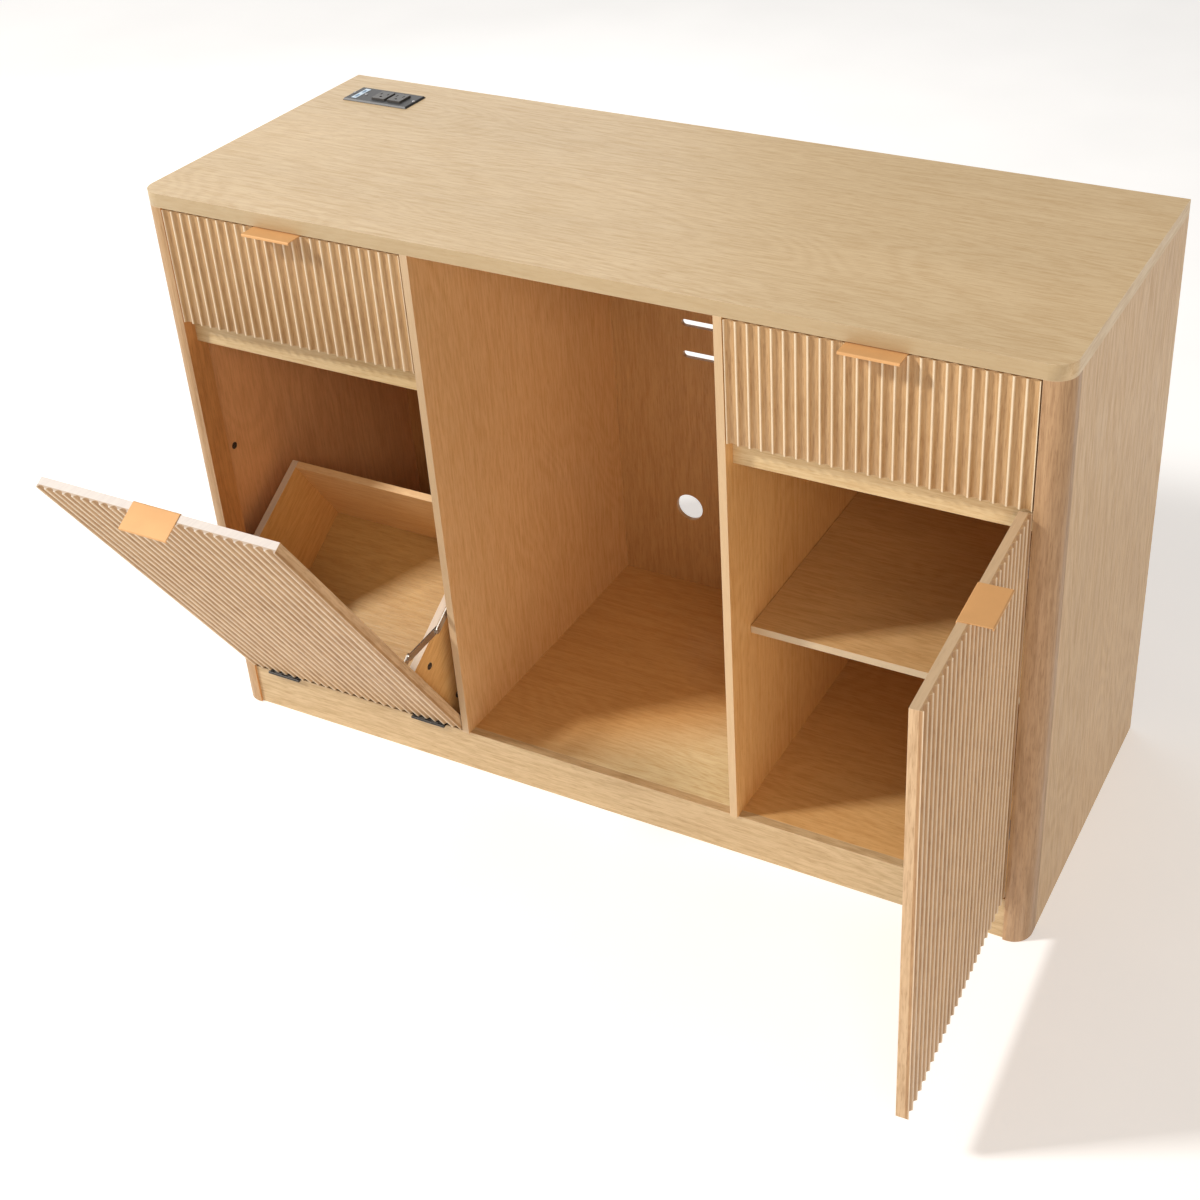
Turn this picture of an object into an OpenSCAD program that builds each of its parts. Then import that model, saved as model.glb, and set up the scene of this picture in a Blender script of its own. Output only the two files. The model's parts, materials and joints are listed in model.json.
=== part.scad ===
// Coffee bar cabinet with a tilt-out bin, two drawers, a door and a middle fridge bay.
// X runs to the viewer's right, Y to the back and Z up, and the floor is at zero.
// The origin is on the floor under the centre of the cabinet.

/* [Cabinet] */
// Width over the side panels
cab_w = 1400; // [1300:10:1500]
// Depth from the front of the posts to the back edges
cab_d = 540; // [500:10:600]
// Height to the top of the worktop
cab_h = 930; // [880:10:980]
// Clear width of the middle bay
bay_w = 466; // [430:2:500]
// Angle that the right door stands open
door_angle = 92.5; // [60:0.5:100]
// Angle that the tilt-out door leans open
tilt_angle = 31.8; // [26:0.1:33]

/* [Boards] */
// Thickness of the worktop
top_t = 22; // [18:1:28]
// Thickness of the side panels
side_t = 18; // [15:1:20]
// Thickness of the two dividers
divider_t = 12; // [12:1:18]
// Thickness of the floor panel
floor_t = 15; // [12:1:18]
// Thickness of the back panel
back_t = 8; // [5:1:10]
// Recess of the back panel behind the back edges
back_inset = 4; // [2:1:8]
// Height of the plinth
plinth_h = 74; // [65:1:85]
// Thickness of the plinth boards and floor bearers
plinth_t = 15; // [12:1:18]
// Setback of the front plinth behind the fronts
plinth_setback = 4; // [2:1:8]
// Width of a corner post
post_w = 35; // [33:1:40]
// Depth of a corner post
post_d = 42; // [38:1:48]
// Radius of the rounded front corners
post_r = 30; // [20:1:32]
// Height of the rail under a drawer
rail_h = 37; // [30:1:50]
// Thickness of the rail under a drawer
rail_t = 18; // [15:1:20]
// Setback of the rail behind the fronts
rail_setback = 21; // [21:1:23]

/* [Fronts] */
// Thickness of the fluted fronts at their ridges
front_t = 17; // [16:0.5:19]
// Number of flutes across a front
flutes = 25; // [20:1:30]
// Flat width left on each ridge
ridge_w = 1.8; // [1.2:0.2:3]
// Depth of the flutes
flute_depth = 4.5; // [3:0.5:5]
// Gap at each side of a front
side_gap = 2; // [1.5:0.5:3]
// Gap between a drawer front and the worktop
top_gap = 3; // [2.5:0.5:4]
// Gap between a drawer front and the door under it
door_gap = 4; // [3:0.5:5]
// Gap between a door and the plinth
sill_gap = 4; // [4:0.5:6]
// Height of the drawer fronts
drawer_front_h = 181; // [160:1:200]

/* [Pulls] */
// Length of a tab pull
pull_l = 82; // [60:2:120]
// Thickness of the pull's bent plate
pull_t = 1.5; // [1.2:0.1:1.8]
// Reach of the pull in front of the front
pull_reach = 26; // [18:1:32]
// Height of the turned-down lip
pull_lip = 4; // [3:0.5:8]
// Height of the leg screwed behind the front
pull_leg = 20; // [16:1:24]

/* [Drawers] */
// Thickness of the drawer box boards
box_t = 12; // [10:1:14]
// Height of the drawer box
box_h = 128; // [110:1:132]
// Length of the drawer box
box_l = 420; // [400:5:440]
// Height of the box above the lower edge of the drawer front
box_rise = 16; // [14:1:22]
// Thickness of the drawer bottom
bottom_t = 5; // [4:0.5:6]
// Groove height above the lower edge of the box
groove_z = 10; // [8:1:14]
// Depth of the groove for the drawer bottom
groove_depth = 5; // [4:0.5:6]
// Length of the runners
runner_l = 400; // [350:10:400]
// Space that a runner takes beside the box
runner_w = 12.7; // [12.7:0.1:13]
// Height of the runner's outer member
runner_h = 45; // [42:1:46]
// Sheet thickness of the runners
runner_sheet = 1.2; // [1:0.1:1.4]
// Distance of a runner from the back of the drawer front
runner_set = 8; // [6:1:12]
// Balls in each row of a runner
runner_balls = 6; // [4:1:8]

/* [Tilt-out bin] */
// Height of the tray walls above the lower edge of the door
tray_h = 178; // [150:2:182]
// Depth of the tray from the front of the door to the back of the tray
tray_d = 310; // [260:5:330]
// Thickness of the tray boards
tray_t = 12; // [10:1:14]
// Space between the tray and the left post
tray_gap_left = 12; // [8:1:20]
// Space for the stay between the tray and the divider
tray_gap_right = 17; // [16:1:22]
// Clearance between the tray and the cabinet floor
tray_rise = 6; // [5:1:10]
// Length of a butt hinge
butt_l = 62; // [50:1:75]
// Distance of the butt hinges from the middle of the door
butt_off = 145; // [100:5:160]
// Diameter of the butt hinge knuckles
knuckle_d = 5; // [5:0.5:6]
// Diameter of the hinge pin
hinge_pin_d = 2.8; // [2:0.1:3]
// Thickness of the hinge leaves
leaf_t = 1.2; // [1:0.1:1.4]
// Distance of the stay's lower pivot above the hinge axis
stay_along = 228; // [222:1:234]
// Distance of the stay's lower pivot behind the door
stay_behind = 13; // [11:1:16]
// Distance of the stay's upper pivot behind the front
stay_back = 70; // [66:1:74]
// Height of the stay's upper pivot above the floor
stay_up = 349; // [344:1:354]
// Length of the lower link between its pivots
lower_l = 72; // [72:1:76]
// Length of the upper link between its pivots
upper_l = 110; // [110:1:114]
// Width of the stay links
link_w = 12; // [10:1:14]
// Thickness of the stay links
link_t = 2; // [1.5:0.1:2]

/* [Door and shelf] */
// Diameter of the hinge cup
cup_d = 35; // [26:1:35]
// Depth of the hinge cup
cup_depth = 11; // [9:0.5:11.5]
// Distance of the cup centre from the door's edge
cup_edge = 22.5; // [21:0.5:24]
// Distance of the hinges from the door's ends
cup_end = 100; // [80:5:140]
// Height of the shelf's upper face
shelf_z = 390; // [340:5:440]
// Thickness of the shelf
shelf_t = 12; // [10:1:16]
// Setback of the shelf behind the fronts
shelf_setback = 60; // [50:5:90]
// Diameter of the shelf pins
shelf_pin_d = 5; // [4:0.5:6]

/* [Back panel openings] */
// Length of a vent slot
slot_l = 200; // [160:5:240]
// Height of a vent slot
slot_h = 12; // [8:1:16]
// Height of the lower vent slot above the floor
slot_z = 534; // [500:2:560]
// Distance between the two vent slots
slot_pitch = 58; // [40:2:70]
// Diameter of the cable hole
cable_d = 50; // [40:1:60]
// Distance of the cable hole left of the middle
cable_x = 100; // [80:2:120]
// Height of the cable hole above the floor
cable_z = 232; // [200:2:260]

/* [Power unit] */
// Length of the face plate
plate_l = 122; // [116:1:130]
// Width of the face plate
plate_w = 57; // [54:1:62]
// Height of the face plate above the worktop
plate_t = 3; // [2.5:0.5:4]
// Depth of the rebate that takes the face plate
plate_sink = 0.5; // [0.3:0.1:1]
// Distance of the unit's middle from the left end of the worktop
plate_x = 110; // [95:1:140]
// Distance of the unit's middle from the back of the worktop
plate_y = 82; // [75:1:95]
// Length of the housing under the worktop
unit_l = 104; // [100:1:108]
// Width of the housing under the worktop
unit_w = 48; // [46:1:50]
// Depth of the housing below the upper face of the worktop
unit_depth = 55; // [46:1:60]
// Wall of the housing
unit_wall = 2; // [1.5:0.5:3]
// Width of a receptacle block
outlet_w = 26; // [24:1:27]
// Depth of a receptacle block from front to back
outlet_d = 33; // [30:1:34]
// Gap between the two receptacle blocks
outlet_gap = 4; // [3:0.5:4]
// Height of a receptacle above the plate
outlet_rise = 3; // [2:0.5:4]
// Width of the charging port's nose
usb_w = 9.6; // [8:0.2:10]
// Length of the charging port's nose
usb_l = 42; // [36:1:42]

/* [Fittings] */
// Diameter of the cam locks
cam_d = 12; // [10:1:12]
// Depth of the cam locks
cam_depth = 9; // [8:0.5:9.5]
// Diameter of the cam bolts
cam_bolt_d = 5; // [4:0.5:6]
// Distance of a cam lock from the edge that it draws in
cam_edge = 30; // [26:1:34]
// Height of the middle cam lock in a side panel
cam_mid_z = 466; // [440:2:500]
// Shank diameter of the wood screws
screw_d = 3; // [2.5:0.1:3.5]
// Head diameter of the wood screws
screw_head = 6; // [5:0.5:6]

/* [Hidden] */
$fn = 48;

// Clearance in a hole for a fixed screw, pin or bolt
fit = 0.1;
// Clearance between parts that move past each other
run_gap = 0.3;
// Overshoot of a cut past the face that it leaves
cut = 1;
// Extra depth of a screw hole past the tip of its screw
tip_gap = 2;

// Lengths of the wood screws, and the height of their heads
pull_screw_l = 10;
bracket_screw_l = 10;
cup_screw_l = 9;
arm_screw_l = 12;
butt_screw_l = 12;
power_screw_l = 14;
screw_head_t = 2;

front_y = -cab_d / 2;
back_y = cab_d / 2;
top_z = cab_h - top_t;
side_in = cab_w / 2 - side_t;
post_in = cab_w / 2 - post_w;
post_back = front_y + post_d;
panel_back = back_y - back_inset;
panel_front = panel_back - back_t;
divider_in = bay_w / 2;
divider_out = divider_in + divider_t;
floor_z = plinth_h - floor_t;
plinth_front = front_y + plinth_setback;
plinth_back = plinth_front + plinth_t;

bay_out_w = post_in - divider_out;
bay_mid = (post_in + divider_out) / 2;
front_w = bay_out_w - 2 * side_gap;
drawer_top = top_z - top_gap;
drawer_low = drawer_top - drawer_front_h;
door_top = drawer_low - door_gap;
door_low = plinth_h + sill_gap;
front_back = front_y + front_t;

pitch = front_w / flutes;
flute_chord = pitch - ridge_w;
flute_r = (flute_chord * flute_chord / 4 + flute_depth * flute_depth) / (2 * flute_depth);

box_w = bay_out_w - 2 * runner_w;
box_low = drawer_low + box_rise;
runner_z = box_low + box_h / 2;
runner_front = front_back + runner_set;

// Gap between the butt hinge knuckles and the fronts
knuckle_gap = 0.2;
hinge_y = front_y - knuckle_d / 2 - knuckle_gap;
hinge_z = plinth_h + sill_gap / 2;
// Inset of the right door's axis from its outer corner
pivot_inset = 2;
pivot_x = post_in - side_gap - pivot_inset;
pivot_y = front_y + pivot_inset;

wood = "burlywood";
wood_in = "peru";
gold = "goldenrod";
steel = "silver";
black = "dimgray";

// Basic shapes

module slab(x0, x1, y0, y1, z0, z1) {
    translate([x0, y0, z0]) cube([x1 - x0, y1 - y0, z1 - z0]);
}

module rod_x(d, x0, x1, y, z) {
    translate([x0, y, z]) rotate([0, 90, 0]) cylinder(d = d, h = x1 - x0);
}

module rod_y(d, y0, y1, x, z) {
    translate([x, y0, z]) rotate([-90, 0, 0]) cylinder(d = d, h = y1 - y0);
}

module rod_z(d, z0, z1, x, y) {
    translate([x, y, z0]) cylinder(d = d, h = z1 - z0);
}

// A rectangle from the origin with its far corner along X and near corner along Y rounded
module rounded_corner(w, d, r) {
    difference() {
        square([w, d]);
        translate([w - r, 0]) difference() {
            translate([0, -cut]) square([r + cut, r + cut]);
            translate([0, r]) circle(r = r, $fn = 96);
        }
    }
}

module both_sides() {
    children();
    mirror([1, 0, 0]) children();
}

// Poses of the two doors, about their own hinge axes

module tilt_pose() {
    translate([0, hinge_y, hinge_z]) rotate([tilt_angle, 0, 0])
        translate([0, -hinge_y, -hinge_z]) children();
}

module door_pose() {
    translate([pivot_x, pivot_y, 0]) rotate([0, 0, door_angle])
        translate([-pivot_x, -pivot_y, 0]) children();
}

// A wood screw along Y: its head's outer face is at y, and it runs to y - length for way = -1
module screw_y(x, y, z, length, way) {
    tip = y + way * length;
    head = y - way * screw_head_t;
    rod_y(screw_d, min(y, tip), max(y, tip), x, z);
    rod_y(screw_head, min(y, head), max(y, head), x, z);
}

module screw_y_hole(x, y, z, length, way) {
    tip = y + way * (length + fit);
    rod_y(screw_d + 2 * fit, min(y - way, tip), max(y - way, tip), x, z);
}

// Cabinet body

module top_board() {
    color(wood) difference() {
        translate([0, 0, top_z]) linear_extrude(top_t) intersection() {
            translate([-cab_w / 2, front_y]) rounded_corner(cab_w, cab_d, post_r);
            mirror([1, 0]) translate([-cab_w / 2, front_y]) rounded_corner(cab_w, cab_d, post_r);
        }
        slab(unit_x - unit_l / 2 - fit, unit_x + unit_l / 2 + fit,
             unit_y - unit_w / 2 - fit, unit_y + unit_w / 2 + fit, top_z - cut, cab_h + cut);
        slab(unit_x - plate_l / 2 - fit, unit_x + plate_l / 2 + fit,
             unit_y - plate_w / 2 - fit, unit_y + plate_w / 2 + fit, unit_z, cab_h + cut);
        for (x = worktop_screw_x)
            rod_z(screw_d + 2 * fit, unit_z - power_screw_l - tip_gap, cab_h + cut, x, unit_y);
    }
}

// Distance of the outer cam locks from the cabinet floor and from the worktop
cam_end = 68;
cam_z = [plinth_h + cam_end, cam_mid_z, top_z - cam_end];
cam_y = post_back + cam_edge;
bolt_reach = 25;

module side_panel() {
    difference() {
        slab(side_in, cab_w / 2, post_back, back_y, 0, top_z);
        for (z = cam_z) {
            rod_x(cam_d + 2 * fit, side_in - cut, side_in + cam_depth + fit, cam_y, z);
            rod_y(cam_bolt_d + 2 * fit, post_back - cut, cam_y, side_in + side_t / 2, z);
        }
    }
}

module left_side_panel() {
    color(wood) mirror([1, 0, 0]) side_panel();
}

module right_side_panel() {
    color(wood) difference() {
        side_panel();
        for (y = shelf_pin_y)
            rod_x(shelf_pin_d + 2 * fit, side_in - cut, side_in + pin_depth + fit, y, shelf_pin_z);
    }
}

module corner_post() {
    difference() {
        translate([post_in, front_y, 0]) linear_extrude(top_z)
            rounded_corner(post_w, post_d, post_r);
        for (z = cam_z)
            rod_y(cam_bolt_d + 2 * fit, post_back - bolt_reach - fit, post_back + cut,
                  side_in + side_t / 2, z);
    }
}

module left_corner_post() {
    color(wood) mirror([1, 0, 0]) corner_post();
}

module right_corner_post() {
    color(wood) difference() {
        corner_post();
        for (z = cup_z) for (dz = [-1, 1])
            rod_x(screw_d + 2 * fit, post_in - cut, post_in + arm_screw_l + tip_gap,
                  arm_plate_y, z + dz * arm_screw_dz);
    }
}

shelf_front = front_y + shelf_setback;
shelf_back_gap = 3;
shelf_back = panel_front - shelf_back_gap;
// Distances of the shelf pins from the shelf's front and back edges
pin_from_front = 40;
pin_from_back = 60;
shelf_pin_y = [shelf_front + pin_from_front, shelf_back - pin_from_back];
shelf_pin_z = shelf_z - shelf_t - shelf_pin_d / 2;
pin_depth = 8;
pin_reach = 9;
shelf_gap = 1;

module divider() {
    slab(divider_in, divider_out, front_y, panel_front, plinth_h, top_z);
}

module left_divider() {
    color(wood) difference() {
        mirror([1, 0, 0]) divider();
        for (z = bracket_screws)
            rod_x(screw_d + 2 * fit, -divider_out - cut, -divider_out + divider_screw_l + fit,
                  pivot_c[0], z);
    }
}

module right_divider() {
    color(wood) difference() {
        divider();
        for (y = shelf_pin_y)
            rod_x(shelf_pin_d + 2 * fit, divider_out - pin_depth - fit, divider_out + cut,
                  y, shelf_pin_z);
    }
}

module floor_panel() {
    color(wood_in) difference() {
        slab(-side_in, side_in, plinth_back, panel_front, floor_z, plinth_h);
        both_sides() slab(post_in, cab_w / 2, front_y, post_back, 0, cab_h);
    }
}

module vent_slot(z) {
    half = slot_l / 2 - slot_h / 2;
    slab(-half, half, panel_front - cut, panel_back + cut, z - slot_h / 2, z + slot_h / 2);
    for (x = [-half, half]) rod_y(slot_h, panel_front - cut, panel_back + cut, x, z);
}

module back_panel() {
    color(wood_in) difference() {
        slab(-side_in, side_in, panel_front, panel_back, floor_z, top_z);
        vent_slot(slot_z);
        vent_slot(slot_z + slot_pitch);
        rod_y(cable_d, panel_front - cut, panel_back + cut, -cable_x, cable_z);
    }
}

// Distance of the leaf screws from the back of the plinth
leaf_screw_in = 6;
leaf_screw_y = plinth_back - leaf_screw_in;

module front_plinth() {
    color(wood) difference() {
        slab(-post_in, post_in, plinth_front, plinth_back, 0, plinth_h);
        for (s = butt_screw_x)
            rod_z(screw_d + 2 * fit, plinth_h - butt_screw_l - tip_gap, plinth_h + cut,
                  s, leaf_screw_y);
    }
}

module back_plinth() {
    color(wood) slab(-side_in, side_in, panel_front - plinth_t, panel_front, 0, floor_z);
}

module floor_bearers() {
    color(wood_in) for (x = [-divider_out, -plinth_t / 2, divider_out - plinth_t])
        slab(x, x + plinth_t, plinth_back, panel_front - plinth_t, 0, floor_z);
}

module drawer_rails() {
    rail_front = front_y + rail_setback;
    color(wood) both_sides()
        slab(divider_out, post_in, rail_front, rail_front + rail_t, door_top - rail_h, door_top);
}

// Height of a packer strip above and below its runner
packer_over = 5;

module runner_packers() {
    packer_h = runner_h + 2 * packer_over;
    color(wood_in) both_sides()
        slab(post_in, side_in, post_back, runner_front + runner_l,
             runner_z - packer_h / 2, runner_z + packer_h / 2);
}

// Cross slot in the head of a cam lock
cross_l = 8;
cross_w = 1.2;
cross_depth = 2;

module cam_lock_x(x, y, z) {
    difference() {
        rod_x(cam_d, x, x + cam_depth, y, z);
        slab(x - cut, x + cross_depth, y - cross_l / 2, y + cross_l / 2,
             z - cross_w / 2, z + cross_w / 2);
        slab(x - cut, x + cross_depth, y - cross_w / 2, y + cross_w / 2,
             z - cross_l / 2, z + cross_l / 2);
    }
}

module cam_locks() {
    color(steel) both_sides() for (z = cam_z) cam_lock_x(side_in, cam_y, z);
}

module cam_bolts() {
    color(steel) both_sides() for (z = cam_z)
        rod_y(cam_bolt_d, post_back - bolt_reach, cam_y - cam_d / 2 - fit, side_in + side_t / 2, z);
}

// Fluted fronts, modelled shut over the bay on the right

module fluted(z0, z1) {
    translate([0, 0, z0]) linear_extrude(z1 - z0) difference() {
        translate([bay_mid - front_w / 2, front_y]) square([front_w, front_t]);
        for (i = [0 : flutes - 1])
            translate([bay_mid - front_w / 2 + (i + 0.5) * pitch, front_y + flute_depth - flute_r])
                circle(r = flute_r, $fn = 64);
    }
}

// Tab pull over the upper edge of a front
pull_screw_z = 8;
module tab_pull(z) {
    x0 = bay_mid - pull_l / 2;
    x1 = bay_mid + pull_l / 2;
    difference() {
        union() {
            slab(x0, x1, front_y - pull_reach, front_back + pull_t, z, z + pull_t);
            slab(x0, x1, front_y - pull_reach, front_y - pull_reach + pull_t,
                 z + pull_t - pull_lip, z + pull_t);
            slab(x0, x1, front_back, front_back + pull_t, z - pull_leg, z + pull_t);
        }
        for (x = [-pull_l / 3, pull_l / 3])
            rod_y(screw_d + 2 * fit, front_back - cut, front_back + pull_t + cut,
                  bay_mid + x, z - pull_screw_z);
    }
}

module pull_screws(z) {
    for (x = [-pull_l / 3, pull_l / 3])
        screw_y(bay_mid + x, front_back + pull_t, z - pull_screw_z, pull_screw_l, -1);
}

module pull_screw_holes(z) {
    for (x = [-pull_l / 3, pull_l / 3])
        screw_y_hole(bay_mid + x, front_back + pull_t, z - pull_screw_z, pull_screw_l, -1);
}

// Drawers, modelled on the right

// Distances of the front's screws from the sides and from the edges of the box
fix_in_x = 60;
fix_in_z = 30;
fix_x = box_w / 2 - fix_in_x;
fix_z = [box_low + fix_in_z, box_low + box_h - fix_in_z];
// Grip of the box's screws in the front, and their whole length
fix_grip = 9;
fix_screw_l = box_t + fix_grip;

module drawer_front() {
    color(wood) difference() {
        fluted(drawer_low, drawer_top);
        pull_screw_holes(drawer_top);
        for (x = [-fix_x, fix_x]) for (z = fix_z)
            screw_y_hole(bay_mid + x, front_back + box_t, z, fix_screw_l, -1);
    }
}

module drawer_box() {
    x0 = bay_mid - box_w / 2;
    x1 = bay_mid + box_w / 2;
    y1 = front_back + box_l;
    color(wood_in) difference() {
        union() {
            slab(x0, x0 + box_t, front_back, y1, box_low, box_low + box_h);
            slab(x1 - box_t, x1, front_back, y1, box_low, box_low + box_h);
        }
        drawer_groove();
    }
    color(wood_in) difference() {
        slab(x0 + box_t, x1 - box_t, front_back, front_back + box_t, box_low, box_low + box_h);
        drawer_groove();
        for (x = [-fix_x, fix_x]) for (z = fix_z)
            screw_y_hole(bay_mid + x, front_back + box_t, z, fix_screw_l, -1);
    }
    color(wood_in)
        slab(x0 + box_t, x1 - box_t, y1 - box_t, y1,
             box_low + groove_z + bottom_t + fit, box_low + box_h);
}

module drawer_groove() {
    reach = box_w / 2 - box_t + groove_depth;
    slab(bay_mid - reach, bay_mid + reach, front_back + box_t - groove_depth,
         front_back + box_l + cut, box_low + groove_z, box_low + groove_z + bottom_t + fit);
}

module drawer_bottom() {
    reach = box_w / 2 - box_t + groove_depth - run_gap;
    color(wood_in)
        slab(bay_mid - reach, bay_mid + reach, front_back + box_t - groove_depth + run_gap,
             front_back + box_l - run_gap, box_low + groove_z, box_low + groove_z + bottom_t);
}

module drawer_pull() {
    color(gold) tab_pull(drawer_top);
}

module drawer_screws() {
    color(steel) {
        pull_screws(drawer_top);
        for (x = [-fix_x, fix_x]) for (z = fix_z)
            screw_y(bay_mid + x, front_back + box_t, z, fix_screw_l, -1);
    }
}

// Ball runners: three nested channels, for the runner on the divider
ball_d = 2.7;
ball_gap = ball_d + 2 * run_gap;
mid_h = runner_h - 2 * runner_sheet - 2 * ball_gap;
inner_h = mid_h - 2 * runner_sheet - 2 * ball_gap;
outer_w = 9;
middle_w = 8;
inner_w = 8.5;
// Distances of the middle member and of the balls from the web of the outer member
middle_x = 2;
ball_x = 6.5;
// Strip that holds a row of balls
cage_w = 0.8;
cage_h = 1.2;
cage_end = 10;

// A channel whose web lies on face x, with flanges that reach to x_tip
module channel(x, x_tip, h) {
    way = x_tip > x ? 1 : -1;
    x_web = x + way * runner_sheet;
    y0 = runner_front;
    y1 = runner_front + runner_l;
    difference() {
        slab(min(x, x_tip), max(x, x_tip), y0, y1, runner_z - h / 2, runner_z + h / 2);
        slab(min(x_web, x_tip + way), max(x_web, x_tip + way), y0 - cut, y1 + cut,
             runner_z - h / 2 + runner_sheet, runner_z + h / 2 - runner_sheet);
    }
}

module both_runners() {
    children();
    translate([2 * bay_mid, 0, 0]) mirror([1, 0, 0]) children();
}

module runner_outer() {
    color(steel) both_runners() channel(divider_out, divider_out + outer_w, runner_h);
}

module ball_row(h_in, z_way) {
    x = divider_out + ball_x;
    z = runner_z + z_way * (h_in / 2 + ball_gap / 2);
    for (i = [0 : runner_balls - 1])
        translate([x, runner_front + (i + 0.5) * runner_l / runner_balls, z])
            sphere(d = ball_d, $fn = 24);
    slab(x - cage_w / 2, x + cage_w / 2, runner_front + cage_end,
         runner_front + runner_l - cage_end, z - cage_h / 2, z + cage_h / 2);
}

module runner_middle() {
    color(steel) both_runners() {
        channel(divider_out + middle_x, divider_out + middle_x + middle_w, mid_h);
        for (way = [-1, 1]) {
            ball_row(mid_h, way);
            ball_row(inner_h, way);
        }
    }
}

module runner_inner() {
    color(steel) both_runners()
        channel(divider_out + runner_w, divider_out + runner_w - inner_w, inner_h);
}

module left_drawer_front() { mirror([1, 0, 0]) drawer_front(); }
module left_drawer_box() { mirror([1, 0, 0]) drawer_box(); }
module left_drawer_bottom() { mirror([1, 0, 0]) drawer_bottom(); }
module left_drawer_pull() { mirror([1, 0, 0]) drawer_pull(); }
module left_drawer_screws() { mirror([1, 0, 0]) drawer_screws(); }
module left_runner_outer() { mirror([1, 0, 0]) runner_outer(); }
module left_runner_middle() { mirror([1, 0, 0]) runner_middle(); }
module left_runner_inner() { mirror([1, 0, 0]) runner_inner(); }
module right_drawer_front() { drawer_front(); }
module right_drawer_box() { drawer_box(); }
module right_drawer_bottom() { drawer_bottom(); }
module right_drawer_pull() { drawer_pull(); }
module right_drawer_screws() { drawer_screws(); }
module right_runner_outer() { runner_outer(); }
module right_runner_middle() { runner_middle(); }
module right_runner_inner() { runner_inner(); }

// Tilt-out bin, modelled shut and then leaned open

tray_left = -post_in + tray_gap_left;
tray_right = -divider_out - tray_gap_right;
tray_low = plinth_h + tray_rise;
tray_back = front_y + tray_d;
tray_top = door_low + tray_h;
// Distances of the tray's cam locks above the lower edge of the door and below the tray's rim
tray_cam_up = 31;
tray_cam_down = 33;
tray_cam_z = [door_low + tray_cam_up, tray_top - tray_cam_down];
tray_cam_y = front_back + cam_edge;

module tilt_door() {
    color(wood) tilt_pose() difference() {
        mirror([1, 0, 0]) fluted(door_low, door_top);
        mirror([1, 0, 0]) pull_screw_holes(door_top);
        for (x = butt_screw_x)
            rod_z(screw_d + 2 * fit, door_low - cut, door_low + butt_screw_l + tip_gap, x, leaf_screw_y);
        for (z = bracket_door_screws)
            screw_y_hole(bracket_x, front_back + link_t, z, bracket_screw_l, -1);
    }
}

module tilt_pull() {
    color(gold) tilt_pose() mirror([1, 0, 0]) tab_pull(door_top);
}

module tilt_screws() {
    color(steel) tilt_pose() {
        mirror([1, 0, 0]) pull_screws(door_top);
        for (z = bracket_door_screws)
            screw_y(bracket_x, front_back + link_t, z, bracket_screw_l, -1);
        for (x = butt_screw_x)
            rod_z(screw_d, door_low - leaf_t, door_low + butt_screw_l, x, leaf_screw_y);
    }
}

module tray_wall(x) {
    difference() {
        slab(x, x + tray_t, front_back, tray_back, tray_low, tray_top);
        for (z = tray_cam_z)
            rod_x(cam_d + 2 * fit, x - cut, x + cam_depth + fit, tray_cam_y, z);
    }
}

module tray_side_walls() {
    color(wood_in) tilt_pose() {
        tray_wall(tray_left);
        translate([tray_left + tray_right, 0, 0]) mirror([1, 0, 0]) tray_wall(tray_left);
    }
}

module tray_back_wall() {
    color(wood_in) tilt_pose()
        slab(tray_left + tray_t, tray_right - tray_t, tray_back - tray_t, tray_back,
             tray_low, tray_top);
}

module tray_floor() {
    color(wood_in) tilt_pose()
        slab(tray_left + tray_t, tray_right - tray_t, front_back, tray_back - tray_t,
             tray_low, tray_low + tray_t);
}

module tray_cam_locks() {
    color(steel) tilt_pose() for (z = tray_cam_z) {
        cam_lock_x(tray_left, tray_cam_y, z);
        translate([tray_left + tray_right, 0, 0]) mirror([1, 0, 0])
            cam_lock_x(tray_left, tray_cam_y, z);
    }
}

// Butt hinges between the plinth and the tilt-out door
butt_x = [-bay_mid - butt_off, -bay_mid + butt_off];
butt_screw_x = [for (x = butt_x) for (s = [-1, 1]) x + s * butt_l / 3];
knuckles = 5;
knuckle_l = butt_l / knuckles;

// One leaf between z0 and z1 with its share of the knuckles, bored for the pin
module butt_leaf(x, z0, z1, share, bore) {
    difference() {
        union() {
            slab(x - butt_l / 2, x + butt_l / 2, front_y, plinth_back, z0, z1);
            for (i = share) {
                x0 = x - butt_l / 2 + i * knuckle_l + run_gap / 2;
                rod_x(knuckle_d, x0, x0 + knuckle_l - run_gap, hinge_y, hinge_z);
                slab(x0, x0 + knuckle_l - run_gap, hinge_y, front_y + cut, z0, z1);
            }
        }
        rod_x(bore, x - butt_l, x + butt_l, hinge_y, hinge_z);
        for (s = [-1, 1])
            rod_z(screw_d + 2 * fit, z0 - cut, z1 + cut, x + s * butt_l / 3, leaf_screw_y);
    }
}

module butt_door_leaves() {
    color(black) tilt_pose() for (x = butt_x)
        butt_leaf(x, door_low - leaf_t, door_low, [1, 3], hinge_pin_d + 2 * run_gap);
}

module butt_plinth_leaves() {
    color(black) for (x = butt_x)
        butt_leaf(x, plinth_h, plinth_h + leaf_t, [0, 2, 4], hinge_pin_d + 2 * fit);
}

module butt_pins() {
    pin_over = 1;
    pin_half = butt_l / 2 + pin_over;
    color(black) for (x = butt_x)
        rod_x(hinge_pin_d, x - pin_half, x + pin_half, hinge_y, hinge_z);
}

module butt_plinth_screws() {
    color(steel) for (x = butt_screw_x)
        rod_z(screw_d, plinth_h - butt_screw_l, plinth_h + leaf_t, x, leaf_screw_y);
}

// Folding stay beside the tray: pivots as [y, z], elbow below the straight line

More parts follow.
